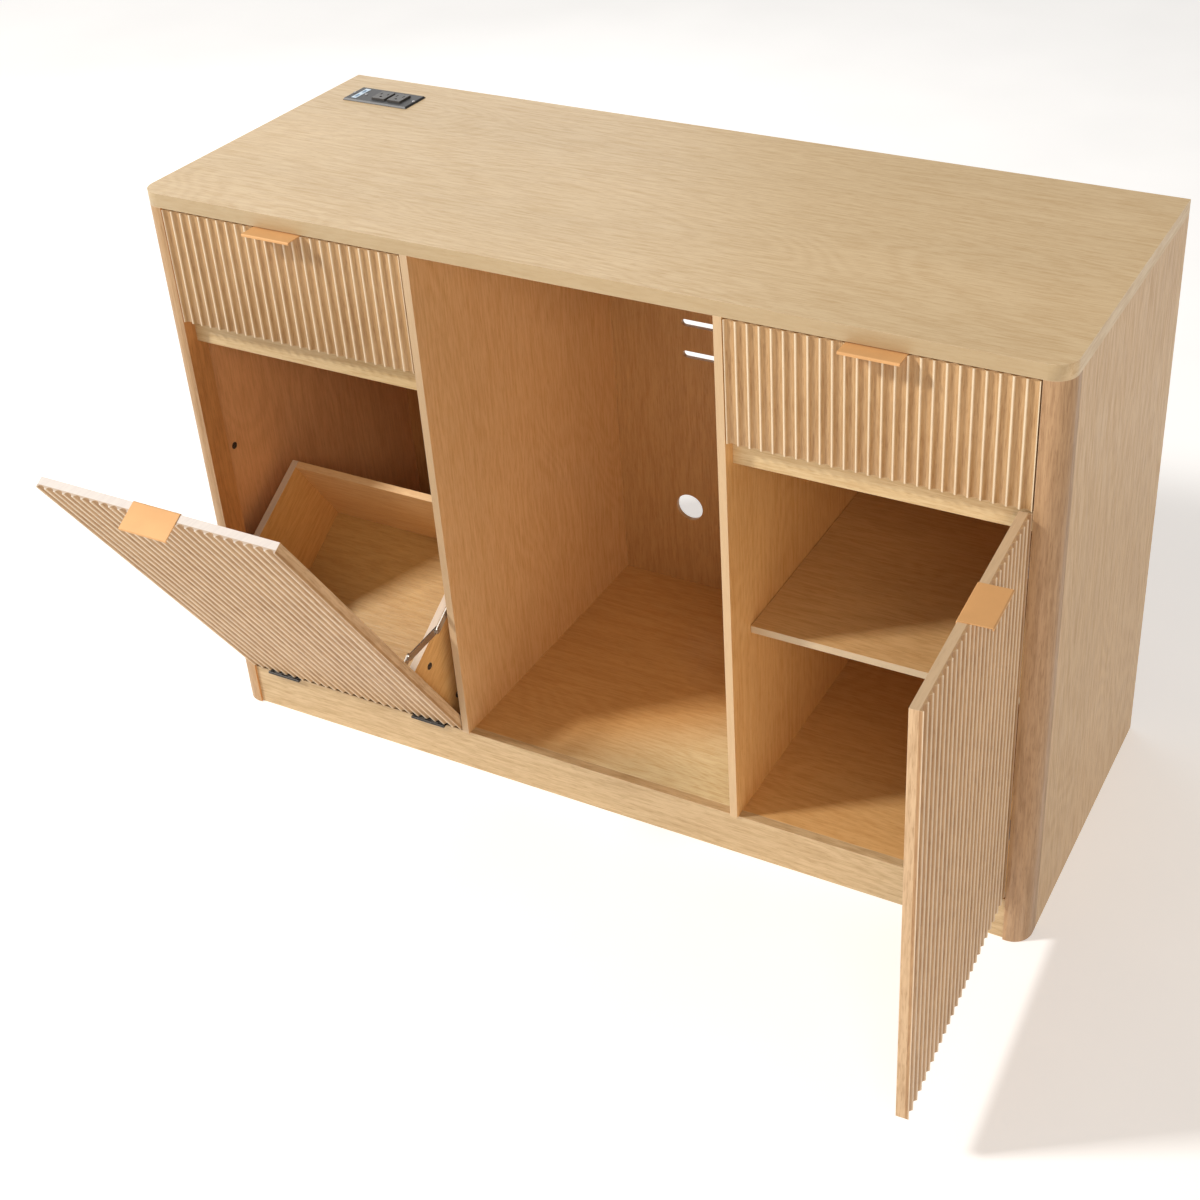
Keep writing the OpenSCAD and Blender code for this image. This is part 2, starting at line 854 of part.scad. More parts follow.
function turn(p, a) = [
    hinge_y + (p[0] - hinge_y) * cos(a) - (p[1] - hinge_z) * sin(a),
    hinge_z + (p[0] - hinge_y) * sin(a) + (p[1] - hinge_z) * cos(a)
];
function elbow(p, c) =
    let (d = norm(p - c))
    let (spread = acos((upper_l * upper_l + d * d - lower_l * lower_l) / (2 * upper_l * d)))
    let (way = atan2(p[1] - c[1], p[0] - c[0]) + spread)
    [c[0] + upper_l * cos(way), c[1] + upper_l * sin(way)];

pivot_shut = [front_back + stay_behind, hinge_z + stay_along];
pivot_d = turn(pivot_shut, tilt_angle);
pivot_c = [front_y + stay_back, stay_up];
pivot_e = elbow(pivot_d, pivot_c);

rivet_d = 5;
rivet_head = 8;
rivet_cap = 1;
upper_x = -divider_out - link_t - run_gap;
lower_x = upper_x - link_t - 2 * run_gap;
ear_x = lower_x - link_t - run_gap;
// The stay's plate on the door, and the heights of its screws
bracket_w = 24;
bracket_h = 28;
bracket_screw_dz = 8;
bracket_x = ear_x - bracket_w / 2;
bracket_door_screws = [pivot_shut[1] - bracket_screw_dz, pivot_shut[1] + bracket_screw_dz];
// The stay's plate on the divider, and the heights of its screws
divider_plate_w = 16;
divider_plate_h = 48;
divider_screw_dz = 16;
divider_screw_l = 8;
bracket_screws = [stay_up - divider_screw_dz, stay_up + divider_screw_dz];

// A flat link from p to q that ends at x on its right, with a hole of diameter d at each end
module stay_link(x, p, q, d_p, d_q) {
    way = atan2(q[1] - p[1], q[0] - p[0]);
    span = norm(q - p);
    difference() {
        union() {
            rod_x(link_w, x - link_t, x, p[0], p[1]);
            rod_x(link_w, x - link_t, x, q[0], q[1]);
            translate([x - link_t, p[0], p[1]]) rotate([way, 0, 0])
                translate([0, 0, -link_w / 2]) cube([link_t, span, link_w]);
        }
        rod_x(d_p, x - link_t - cut, x + cut, p[0], p[1]);
        rod_x(d_q, x - link_t - cut, x + cut, q[0], q[1]);
    }
}

module stay_door_bracket() {
    color(steel) tilt_pose() {
        difference() {
            union() {
                slab(ear_x - bracket_w, ear_x, front_back, front_back + link_t,
                     pivot_shut[1] - bracket_h / 2, pivot_shut[1] + bracket_h / 2);
                slab(ear_x - link_t, ear_x, front_back, pivot_shut[0],
                     pivot_shut[1] - link_w / 2, pivot_shut[1] + link_w / 2);
                rod_x(link_w, ear_x - link_t, ear_x, pivot_shut[0], pivot_shut[1]);
            }
            for (z = bracket_door_screws)
                rod_y(screw_d + 2 * fit, front_back - cut, front_back + link_t + cut, bracket_x, z);
        }
        rod_x(rivet_d, ear_x, lower_x + run_gap, pivot_shut[0], pivot_shut[1]);
    }
}

module stay_lower_link() {
    color(steel) {
        stay_link(lower_x, pivot_d, pivot_e, rivet_d + 2 * run_gap, rivet_d);
        rod_x(rivet_d, lower_x - link_t - rivet_cap, lower_x, pivot_e[0], pivot_e[1]);
        rod_x(rivet_head, lower_x - link_t - rivet_cap, lower_x - link_t, pivot_e[0], pivot_e[1]);
    }
}

module stay_upper_link() {
    color(steel) {
        stay_link(upper_x, pivot_c, pivot_e, rivet_d + 2 * run_gap, rivet_d);
        rod_x(rivet_d, upper_x - link_t, upper_x + rivet_cap, pivot_e[0], pivot_e[1]);
        rod_x(rivet_head, upper_x, upper_x + rivet_cap, pivot_e[0], pivot_e[1]);
    }
}

module stay_divider_bracket() {
    color(steel) rod_x(rivet_d, upper_x - link_t - run_gap, -divider_out - link_t,
                       pivot_c[0], pivot_c[1]);
    color(steel) difference() {
        slab(-divider_out - link_t, -divider_out,
             pivot_c[0] - divider_plate_w / 2, pivot_c[0] + divider_plate_w / 2,
             stay_up - divider_plate_h / 2, stay_up + divider_plate_h / 2);
        for (z = bracket_screws)
            rod_x(screw_d + 2 * fit, -divider_out - link_t - cut, -divider_out + cut, pivot_c[0], z);
    }
    color(steel) for (z = bracket_screws)
        rod_x(screw_d, -divider_out - link_t, -divider_out + divider_screw_l, pivot_c[0], z);
}

// Door on the right, modelled shut and then swung open

cup_z = [door_low + cup_end, door_top - cup_end];
cup_x = bay_mid + front_w / 2 - cup_edge;
cup_wall = 1;
flange_t = 1;
flange_w = 18;
flange_h = 60;
flange_screw_dz = 24;
// Rim of the cup around its bore
rim_over = 1;
arm_plate_in = 12;
arm_plate_y = front_back + arm_plate_in;
arm_screw_dz = 16;

module right_door_panel() {
    color(wood) door_pose() difference() {
        fluted(door_low, door_top);
        pull_screw_holes(door_top);
        for (z = cup_z) {
            rod_y(cup_d + 2 * fit, front_back - cup_depth - fit, front_back + cut, cup_x, z);
            for (s = [-1, 1])
                screw_y_hole(cup_x, front_back + flange_t, z + s * flange_screw_dz, cup_screw_l, -1);
        }
    }
}

module right_door_pull() {
    color(gold) door_pose() tab_pull(door_top);
}

module right_door_screws() {
    color(steel) door_pose() {
        pull_screws(door_top);
        for (z = cup_z) for (s = [-1, 1])
            screw_y(cup_x, front_back + flange_t, z + s * flange_screw_dz, cup_screw_l, -1);
    }
}

module hinge_cups() {
    color(steel) door_pose() for (z = cup_z) difference() {
        union() {
            rod_y(cup_d, front_back - cup_depth, front_back, cup_x, z);
            slab(cup_x - flange_w / 2, cup_x + flange_w / 2, front_back, front_back + flange_t,
                 z - flange_h / 2, z + flange_h / 2);
            rod_y(cup_d + 2 * rim_over, front_back, front_back + flange_t, cup_x, z);
        }
        rod_y(cup_d - 2 * cup_wall, front_back - cup_depth + cup_wall, front_back + cut + flange_t,
              cup_x, z);
        for (s = [-1, 1])
            rod_y(screw_d + 2 * fit, front_back - cut, front_back + flange_t + cut,
                  cup_x, z + s * flange_screw_dz);
    }
}

// The hinge link turns on a pin in the arm's nose. Shut, it lies in the cup, and open, its tip
// lies on the cup's rim.
nose_half_w = 3.5;
nose_half_h = 3;
link_pin_d = 3;
link_pin_in = 4;
link_pin_at = [cup_x, front_back - link_pin_in];
hinge_link_l = 13.5;
hinge_link_r = 2;
hinge_link_t = 1.5;
// Diameter of the link's eye around its pin
hinge_eye_d = 5;
link_pin_off = [link_pin_at[0] - pivot_x, link_pin_at[1] - pivot_y];
link_pin_rise = link_pin_off[1] * cos(door_angle) - link_pin_off[0] * sin(door_angle);
link_tip_rise = front_back + flange_t - pivot_y + run_gap + hinge_link_r;
hinge_link_turn = door_angle + asin((link_pin_rise - link_tip_rise) / hinge_link_l);

module hinge_links() {
    cheek = nose_half_h + run_gap;
    half = cheek + hinge_link_t;
    color(steel) for (z = cup_z)
        translate([link_pin_at[0], link_pin_at[1], z]) rotate([0, 0, hinge_link_turn]) {
            for (z0 = [-half, cheek]) difference() {
                union() {
                    rod_z(hinge_eye_d, z0, z0 + hinge_link_t, 0, 0);
                    rod_z(2 * hinge_link_r, z0, z0 + hinge_link_t, -hinge_link_l, 0);
                    slab(-hinge_link_l, 0, -hinge_link_r, hinge_link_r, z0, z0 + hinge_link_t);
                }
                rod_z(link_pin_d + 2 * run_gap, z0 - cut, z0 + hinge_link_t + cut, 0, 0);
            }
            rod_z(2 * hinge_link_r, -half, half, -hinge_link_l, 0);
        }
}

// Base plate on the post with an arm whose nose reaches into the cup when the door is shut
module hinge_arms() {
    plate_thick = 4;
    plate_w = 16;
    plate_h = 48;
    arm_h = 16;
    arm_deep = 9;
    arm_run = 40;
    wall = 1.5;
    nose_t = 4;
    nose_in = 8;
    arm_x = post_in - plate_thick;
    arm_low_x = arm_x - arm_deep;
    arm_front = arm_plate_y - plate_w / 2;
    arm_mid = arm_plate_y + plate_w / 2;
    arm_back = arm_plate_y + arm_run;
    pin_over = 0.5;
    pin_half = nose_half_h + run_gap + hinge_link_t + pin_over;
    color(steel) for (z = cup_z) {
        difference() {
            slab(arm_x, post_in, arm_front, arm_mid, z - plate_h / 2, z + plate_h / 2);
            for (s = [-1, 1])
                rod_x(screw_d + 2 * fit, arm_x - cut, post_in + cut, arm_plate_y,
                      z + s * arm_screw_dz);
        }
        difference() {
            slab(arm_low_x, arm_x, arm_front, arm_back, z - arm_h / 2, z + arm_h / 2);
            slab(arm_low_x + wall, arm_x + cut, arm_mid, arm_back + cut,
                 z - arm_h / 2 + wall, z + arm_h / 2 - wall);
        }
        slab(cup_x - nose_half_w, arm_low_x, arm_front, arm_front + nose_t,
             z - nose_half_h, z + nose_half_h);
        slab(cup_x - nose_half_w, cup_x + nose_half_w, front_back - nose_in, arm_front,
             z - nose_half_h, z + nose_half_h);
        rod_z(link_pin_d, z - pin_half, z + pin_half, link_pin_at[0], link_pin_at[1]);
        for (s = [-1, 1]) {
            rod_x(screw_d, arm_x, post_in + arm_screw_l, arm_plate_y, z + s * arm_screw_dz);
            rod_x(screw_head, arm_x - screw_head_t, arm_x, arm_plate_y, z + s * arm_screw_dz);
        }
    }
}

module shelf() {
    color(wood_in)
        slab(divider_out + shelf_gap, side_in - shelf_gap, shelf_front, shelf_back,
             shelf_z - shelf_t, shelf_z);
}

module shelf_pins() {
    color(steel) for (y = shelf_pin_y) {
        rod_x(shelf_pin_d, divider_out - pin_depth, divider_out + pin_reach, y, shelf_pin_z);
        rod_x(shelf_pin_d, side_in - pin_reach, side_in + pin_depth, y, shelf_pin_z);
    }
}

// Power unit let into the worktop at the rear left

unit_x = -cab_w / 2 + plate_x;
unit_y = back_y - plate_y;
// Underside of the face plate, and a height above the whole unit for its cuts
unit_z = cab_h - plate_sink;
unit_over = cab_h + plate_t + outlet_rise + cut;

// Distances of the screws and of the blocks from each other along the unit
screw_from_end = 3.4;
outlet_from_wall = 8;
usb_from_wall = 0.4;
usb_to_screw = 5.4;
end_screw = plate_l / 2 - screw_from_end;
outlet_x0 = unit_x + unit_l / 2 - unit_wall - outlet_from_wall - outlet_w / 2;
outlet_x = [outlet_x0 - outlet_w - outlet_gap, outlet_x0];
usb_x = unit_x - unit_l / 2 + unit_wall + usb_from_wall + usb_w / 2;
usb_screw_x = usb_x + usb_w / 2 + usb_to_screw;
worktop_screw_x = [unit_x - end_screw, unit_x + end_screw];
plate_screw_x = concat(worktop_screw_x, [usb_screw_x]);
// Depth of the blocks below the plate
block_depth = 22;
plate_bevel = 2;
outlet_bevel = 1;
// Rise of the screw heads and of the charging port above the plate
stand = 0.4;

// Contact slots and round hole of a receptacle
blade_x = 6.4;
blade_w = 2;
blade_y = 5;
blade_l = 8;
earth_y = 7;
earth_d = 5;
contact_depth = 6;

// Two mouths in the charging port, each with a tongue
mouth_y = 10;
mouth_w = 5;
mouth_l = 13;
tongue_x = 0.7;
tongue_w = 1.8;
tongue_l = 11;
tongue_drop = 1;
lug_w = 12;
lug_end = 3;

// Cord gland under the housing
gland_d = 14;
gland_bore = 9;
gland_l = 6;

// A plate whose upper edges are bevelled, as two crossed prisms
module bevelled(l, w, t, bevel) {
    intersection() {
        rotate([90, 0, 90]) translate([0, 0, -l / 2]) linear_extrude(l)
            polygon([[-w / 2, 0], [w / 2, 0], [w / 2, t / 3], [w / 2 - bevel, t],
                     [-w / 2 + bevel, t], [-w / 2, t / 3]]);
        rotate([90, 0, 0]) translate([0, 0, -w / 2]) linear_extrude(w)
            polygon([[-l / 2, 0], [l / 2, 0], [l / 2, t / 3], [l / 2 - bevel, t],
                     [-l / 2 + bevel, t], [-l / 2, t / 3]]);
    }
}

module power_plate() {
    color(black) difference() {
        translate([unit_x, unit_y, unit_z])
            bevelled(plate_l, plate_w, plate_t + plate_sink, plate_bevel);
        for (x = outlet_x)
            slab(x - outlet_w / 2 - fit, x + outlet_w / 2 + fit,
                 unit_y - outlet_d / 2 - fit, unit_y + outlet_d / 2 + fit, unit_z - cut, unit_over);
        slab(usb_x - usb_w / 2 - fit, usb_x + usb_w / 2 + fit,
             unit_y - usb_l / 2 - fit, unit_y + usb_l / 2 + fit, unit_z - cut, unit_over);
        for (x = plate_screw_x) rod_z(screw_d + 2 * fit, unit_z - cut, unit_over, x, unit_y);
    }
}

module power_receptacles() {
    low = unit_z - block_depth;
    color(black) for (x = outlet_x) difference() {
        translate([x, unit_y, low])
            bevelled(outlet_w, outlet_d, cab_h + plate_t + outlet_rise - low, outlet_bevel);
        for (s = [-1, 1])
            slab(x + s * blade_x - blade_w / 2, x + s * blade_x + blade_w / 2,
                 unit_y + blade_y - blade_l / 2, unit_y + blade_y + blade_l / 2,
                 cab_h - contact_depth, unit_over);
        rod_z(earth_d, cab_h - contact_depth, unit_over, x, unit_y - earth_y);
    }
}

// Two charging ports in one block: the nose comes up through the plate and a lug takes a screw
module power_usb_port() {
    low = unit_z - block_depth;
    color("lightblue") difference() {
        union() {
            slab(usb_x - usb_w / 2, usb_x + usb_w / 2, unit_y - usb_l / 2, unit_y + usb_l / 2,
                 low, cab_h + plate_t + stand);
            slab(usb_x, usb_screw_x + lug_end, unit_y - lug_w / 2, unit_y + lug_w / 2, low, unit_z);
        }
        for (y = [unit_y - mouth_y, unit_y + mouth_y]) difference() {
            slab(usb_x - mouth_w / 2, usb_x + mouth_w / 2, y - mouth_l / 2, y + mouth_l / 2,
                 cab_h - contact_depth, unit_over);
            slab(usb_x + tongue_x - tongue_w / 2, usb_x + tongue_x + tongue_w / 2,
                 y - tongue_l / 2, y + tongue_l / 2, low, cab_h + plate_t - tongue_drop);
        }
        rod_z(screw_d + 2 * fit, unit_z - power_screw_l - fit, unit_z + cut, usb_screw_x, unit_y);
    }
}

module power_housing() {
    low = cab_h - unit_depth;
    color(black) difference() {
        slab(unit_x - unit_l / 2, unit_x + unit_l / 2, unit_y - unit_w / 2, unit_y + unit_w / 2,
             low, unit_z);
        slab(unit_x - unit_l / 2 + unit_wall, unit_x + unit_l / 2 - unit_wall,
             unit_y - unit_w / 2 + unit_wall, unit_y + unit_w / 2 - unit_wall,
             low + unit_wall, unit_z + cut);
        rod_z(gland_bore, low - cut, low + unit_wall + cut, unit_x, unit_y);
    }
    color(black) difference() {
        rod_z(gland_d, low - gland_l, low, unit_x, unit_y);
        rod_z(gland_bore, low - gland_l - cut, low + cut, unit_x, unit_y);
    }
}

module power_screws() {
    color(steel) for (x = plate_screw_x)
        rod_z(screw_d, unit_z - power_screw_l, cab_h + plate_t + stand, x, unit_y);
}

top_board();
left_side_panel();
right_side_panel();
left_corner_post();
right_corner_post();
left_divider();
right_divider();
floor_panel();
back_panel();
front_plinth();
back_plinth();
floor_bearers();
drawer_rails();
runner_packers();
cam_locks();
cam_bolts();
left_drawer_front();
left_drawer_box();
left_drawer_bottom();
left_drawer_pull();
left_drawer_screws();
left_runner_outer();
left_runner_middle();
left_runner_inner();
right_drawer_front();
right_drawer_box();
right_drawer_bottom();
right_drawer_pull();
right_drawer_screws();
right_runner_outer();
right_runner_middle();
right_runner_inner();
tilt_door();
tilt_pull();
tilt_screws();
tray_side_walls();
tray_back_wall();
tray_floor();
tray_cam_locks();
butt_door_leaves();
butt_plinth_leaves();
butt_pins();
butt_plinth_screws();
stay_door_bracket();
stay_lower_link();
stay_upper_link();
stay_divider_bracket();
right_door_panel();
right_door_pull();
right_door_screws();
hinge_cups();
hinge_links();
hinge_arms();
shelf();
shelf_pins();
power_plate();
power_receptacles();
power_usb_port();
power_housing();
power_screws();
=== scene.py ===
# %% [markdown]
# # Coffee bar cabinet
# A wide oak sideboard: two fluted drawers, a tilt-out bin on the left, an open bay for a small
# fridge in the middle, and a door with a shelf behind it on the right. A power unit is let into
# the worktop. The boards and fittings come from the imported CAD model, which also says what moves
# with what. This lesson gives them their surfaces, adds the small things that CAD leaves plain,
# and sets up a camera and a studio. Everything is in metres, X to the right and Y to the back.

# %% Load the frame
import bpy
import bmesh
import json
import math
from mathutils import Matrix, Vector


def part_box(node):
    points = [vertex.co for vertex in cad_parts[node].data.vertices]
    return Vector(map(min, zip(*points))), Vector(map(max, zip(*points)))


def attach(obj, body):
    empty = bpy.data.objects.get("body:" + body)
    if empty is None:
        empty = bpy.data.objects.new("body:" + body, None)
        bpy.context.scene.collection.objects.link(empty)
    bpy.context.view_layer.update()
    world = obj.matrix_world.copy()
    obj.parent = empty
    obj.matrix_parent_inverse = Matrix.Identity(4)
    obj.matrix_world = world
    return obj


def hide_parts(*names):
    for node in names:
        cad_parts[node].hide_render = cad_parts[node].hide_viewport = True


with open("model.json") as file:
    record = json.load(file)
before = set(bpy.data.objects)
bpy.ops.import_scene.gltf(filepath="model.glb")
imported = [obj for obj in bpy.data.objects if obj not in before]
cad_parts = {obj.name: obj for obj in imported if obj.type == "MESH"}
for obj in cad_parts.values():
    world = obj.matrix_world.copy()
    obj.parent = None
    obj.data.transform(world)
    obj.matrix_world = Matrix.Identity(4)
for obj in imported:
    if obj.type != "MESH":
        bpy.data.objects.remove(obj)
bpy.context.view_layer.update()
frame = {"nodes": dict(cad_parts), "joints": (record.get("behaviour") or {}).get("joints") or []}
nodes = frame["nodes"]

# %% [markdown]
# ## Places from the frame
# Several pieces below line up with boards of the CAD model. Their places are read from the boxes
# of those boards instead of being typed again, so they follow when the model changes. The fronts
# are seventeen millimetres thick from their ridges to the face behind them, and both drawers are
# alike, mirrored about the middle.

# %% Places from the frame
UP, ALONG, DEEP, FRONT = (0, 0, 1), (1, 0, 0), (0, 1, 0), (0, -1, 0)


def box_of(name):
    return [Vector(corner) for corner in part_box(name)]


front_low, front_high = box_of("right_drawer_front")
RIDGE_Y, BEHIND, DRAWER_TOP = front_low.y, front_high.y, front_high.z
BAY = (front_low.x + front_high.x) / 2
DOOR_TOP = box_of("drawer_rails")[1].z
divider_low, divider_high = box_of("right_divider")
DIVIDER_MID = (divider_low.x + divider_high.x) / 2
print("side bays centred at x = +-%.3f, dividers at +-%.3f" % (BAY, DIVIDER_MID))

# %% [markdown]
# ## Camera
# The photograph looks down on the cabinet from the front right, from a little over two metres
# away. Its straight edges give the place, the turn and the focal length of the camera. Solving
# for these is better than nudging a camera by eye, because all the edges then agree at once.
# The picture's centre isn't on the optical axis, which the lens shift makes good.

# %% Camera
FOCAL_LENGTH, SENSOR_WIDTH = 54.79, 36.0
LENS_SHIFT = (-0.10, -0.0792)
CAMERA_PLACE = (1.1919, -2.1103, 1.9303)
CAMERA_TURN = (57.83, 1.70, 26.42)

camera_data = bpy.data.cameras.new("camera")
camera_data.lens = FOCAL_LENGTH
camera_data.sensor_width = SENSOR_WIDTH
camera_data.shift_x, camera_data.shift_y = LENS_SHIFT
camera = bpy.data.objects.new("camera", camera_data)
camera.location = CAMERA_PLACE
camera.rotation_euler = [math.radians(angle) for angle in CAMERA_TURN]
bpy.context.scene.collection.objects.link(camera)
bpy.context.scene.camera = camera
print("camera at", tuple(round(v, 3) for v in camera.location))

# %% [markdown]
# ## Studio lights
# The shadow edges inside the bays show where the main light stands: to the front left, nearly
# 40 degrees up. The edges are quite firm, so it is small for its distance. The rest is soft: a
# pale world, the bounce of a large pale floor, and two weak panels. One stands at the front
# right and is warm, because the shadows inside the bays are redder than the wood in the light.
# The other stands behind the left end, where it lends the worktop a sheen.

# %% Studio lights
WORLD_COLOR, WORLD_STRENGTH = (1.0, 0.960, 0.910), 0.36
LOOK_AT = Vector((0.0, 0.0, 0.45))

scene = bpy.context.scene
scene.view_settings.view_transform = "Standard"
world = bpy.data.worlds.new("studio")
scene.world = world
world.use_nodes = True
sky = world.node_tree.nodes["Background"]
sky.inputs["Color"].default_value = (*WORLD_COLOR, 1.0)
sky.inputs["Strength"].default_value = WORLD_STRENGTH


def area_light(name, toward, distance, size, power, color=(1, 1, 1)):
    """A square light panel that shines at the middle of the cabinet."""
    data = bpy.data.lights.new(name, "AREA")
    data.size = size
    data.energy = power
    data.color = color
    light = bpy.data.objects.new(name, data)
    light.location = LOOK_AT + Vector(toward).normalized() * distance
    aim = (LOOK_AT - light.location).to_track_quat("-Z", "Y")
    light.rotation_euler = aim.to_euler()
    scene.collection.objects.link(light)


area_light("key_light", toward=(-0.62, -0.46, 0.62), distance=9.0, size=1.0, power=590,
           color=(1.0, 0.975, 0.94))
area_light("front_fill", toward=(0.46, -0.70, 0.46), distance=4.5, size=1.1, power=36,
           color=(1.0, 0.76, 0.54))
area_light("back_sheen", toward=(-0.62, 0.66, 0.42), distance=3.4, size=2.0, power=13)

# %% [markdown]
# ## Small tools for shader nodes
# Each surface is described by a tree of shader nodes instead of a picture, so it stays sharp at
# any distance and needs no unwrapping. Written out, such a tree is long. The first helper makes
# one node and wires or sets its inputs. The others are built on it, and each hands back the
# output that the next node needs.

# %% Shader node helpers
def put(tree, kind, inputs=None, **settings):
    """A new shader node: sockets among the inputs are wired, other values are set."""
    made = tree.nodes.new(kind)
    for key, value in settings.items():
        setattr(made, key, value)
    for key, value in (inputs or {}).items():
        if isinstance(value, bpy.types.NodeSocket):
            tree.links.new(value, made.inputs[key])
        else:
            made.inputs[key].default_value = value
    return made


def math_node(tree, operation, a, b=0.0, c=0.0, clamp=False):
    made = put(tree, "ShaderNodeMath", {0: a, 1: b, 2: c}, operation=operation, use_clamp=clamp)
    return made.outputs[0]


def dot(tree, a, b):
    """How far one vector reaches along another, as a number."""
    return put(tree, "ShaderNodeVectorMath", {0: a, 1: b}, operation="DOT_PRODUCT").outputs["Value"]


def split(tree, vector):
    return put(tree, "ShaderNodeSeparateXYZ", {0: vector}).outputs


def soft_step(tree, value, start, end):
    """Zero before the start and one after the end, with a smooth rise between them."""
    made = put(tree, "ShaderNodeMapRange", {0: value, 1: start, 2: end},
               interpolation_type="SMOOTHSTEP")
    return made.outputs[0]


def ramp(tree, fac, stops):
    """A colour ramp of (place, grey value) or (place, colour) stops."""
    made = put(tree, "ShaderNodeValToRGB", {"Fac": fac})
    elements = made.color_ramp.elements
    while len(elements) < len(stops):
        elements.new(0.5)
    for element, (place, value) in zip(elements, stops):
        element.position = place
        element.color = (value, value, value, 1) if isinstance(value, float) else (*value, 1)
    return made.outputs["Color"]


def mix_color(tree, fac, a, b, blend="MIX"):
    """Two colours mixed, each given as a socket or as three numbers."""
    a, b = (c if isinstance(c, bpy.types.NodeSocket) else (*c, 1) for c in (a, b))
    made = put(tree, "ShaderNodeMix", {0: fac, 6: a, 7: b}, data_type="RGBA", blend_type=blend)
    return made.outputs[2]


def noise(tree, vector, stretch, detail=2.0, rough=0.5, twist=0.0):
    """Noise over coordinates that are stretched by three factors first."""
    scaled = put(tree, "ShaderNodeVectorMath", {0: vector, 1: stretch}, operation="MULTIPLY")
    made = put(tree, "ShaderNodeTexNoise",
               {"Vector": scaled.outputs[0], "Scale": 1.0, "Detail": detail,
                "Roughness": rough, "Distortion": twist})
    return made.outputs[0]


print("helpers: put, math_node, dot, split, soft_step, ramp, mix_color, noise")

# %% [markdown]
# ## Materials, arrises and paint
# A new material starts with its shader and with coordinates that ride with the piece, so the grain
# stays on a door that swings. Worn arrises and painted highlights on arrises need a mask that is
# bright where the surface turns sharply: the Bevel node gives the normal as if the arris were
# rounded, and where it leaves the true normal there is an arris.

# %% Materials, arrises and paint
ARRIS_GAIN = 4.0


def new_material(name):
    material = bpy.data.materials.new(name)
    material.use_nodes = True
    tree = material.node_tree
    shader = tree.nodes["Principled BSDF"]
    coords = tree.nodes.new("ShaderNodeTexCoord")
    return material, tree, shader, coords


def edge_mask(tree, radius):
    """Bright where the surface turns sharply within the radius."""
    rounded = put(tree, "ShaderNodeBevel", {"Radius": radius}, samples=4)
    flat = tree.nodes.new("ShaderNodeNewGeometry")
    same = dot(tree, rounded.outputs[0], flat.outputs["True Normal"])
    turned = math_node(tree, "SUBTRACT", 1.0, same)
    return math_node(tree, "MULTIPLY", turned, ARRIS_GAIN, clamp=True)


def paint(obj, material):
    """Gives the whole object one material."""
    if obj.data.materials:
        for i in range(len(obj.data.materials)):
            obj.data.materials[i] = material
    else:
        obj.data.materials.append(material)


print("ready to paint", len(nodes), "nodes")

# %% [markdown]
# ## Pale floor
# The photograph's background was cut out, so the floor is a plain pale one. It reaches far
# enough that no view sees its end close by, lies half a millimetre under the plinth so that the
# two surfaces don't fight, and glows a little, as a white studio floor does under its own lamps.

# %% Pale floor
FLOOR_HALF, FLOOR_DROP = 30.0, 0.0005
FLOOR_ROUGH, FLOOR_GLOW = 0.6, 0.34

floor_mesh = bpy.data.meshes.new("studio_floor")
floor_corners = [(-FLOOR_HALF, -FLOOR_HALF, 0), (FLOOR_HALF, -FLOOR_HALF, 0),
                 (FLOOR_HALF, FLOOR_HALF, 0), (-FLOOR_HALF, FLOOR_HALF, 0)]
floor_mesh.from_pydata(floor_corners, [], [(0, 1, 2, 3)])
studio_floor = bpy.data.objects.new("studio_floor", floor_mesh)
studio_floor.location = (0, 0, -FLOOR_DROP)
scene.collection.objects.link(studio_floor)

floor_material, tree, shader, coords = new_material("studio_floor")
mottle = noise(tree, coords.outputs["Object"], (3, 3, 3), 3.0)
tree.links.new(ramp(tree, mottle, [(0.3, 0.88), (0.7, 0.92)]), shader.inputs["Base Color"])
shader.inputs["Roughness"].default_value = FLOOR_ROUGH
shader.inputs["Emission Color"].default_value = (1, 1, 1, 1)
shader.inputs["Emission Strength"].default_value = FLOOR_GLOW
paint(studio_floor, floor_material)
print("floor", 2 * FLOOR_HALF, "m wide")

# %% [markdown]
# ## The figure of oak
# The boards are covered with pale oak veneer under a clear satin lacquer. Oak shows three things
# at once: wide nested arches where a growth ring surfaces, fine fibres along the board, and
# short dark pores. Each is a noise that is stretched along the grain. The arches are the contour
# lines of a slow noise, which is how they arise in a real plain-sawn board too. On a board's
# ends the pattern is turned, since a strip of edge banding covers them there.

# %% The figure of oak
RING_STRETCH, RING_COUNT = (1.2, 5.2, 5.2), 150.0
FIBRE_STRETCH = (11.0, 190.0, 190.0)
THREAD_STRETCH = (32.0, 380.0, 380.0)
PORE_STRETCH = (60.0, 760.0, 760.0)
SEED_STEP = (1.7, 0.61, 0.37)
END_LIMIT = 0.72


def along_grain(tree, coords, grain, seed):
    """Coordinates with X along the grain, or across it on the board's ends."""
    turn = Vector(grain).rotation_difference(Vector(ALONG)).to_euler()
    placed = put(tree, "ShaderNodeMapping",
                 {"Vector": coords.outputs["Object"], "Rotation": tuple(turn),
                  "Location": tuple(seed * step for step in SEED_STEP)})
    x, y, z = split(tree, placed.outputs[0])
    turned = put(tree, "ShaderNodeCombineXYZ", {0: y, 1: x, 2: z})
    facing = math_node(tree, "ABSOLUTE", dot(tree, coords.outputs["Normal"], grain))
    at_end = math_node(tree, "GREATER_THAN", facing, END_LIMIT)
    where = put(tree, "ShaderNodeMix",
                {0: at_end, 4: placed.outputs[0], 5: turned.outputs[0]}, data_type="VECTOR")
    return where.outputs[1]


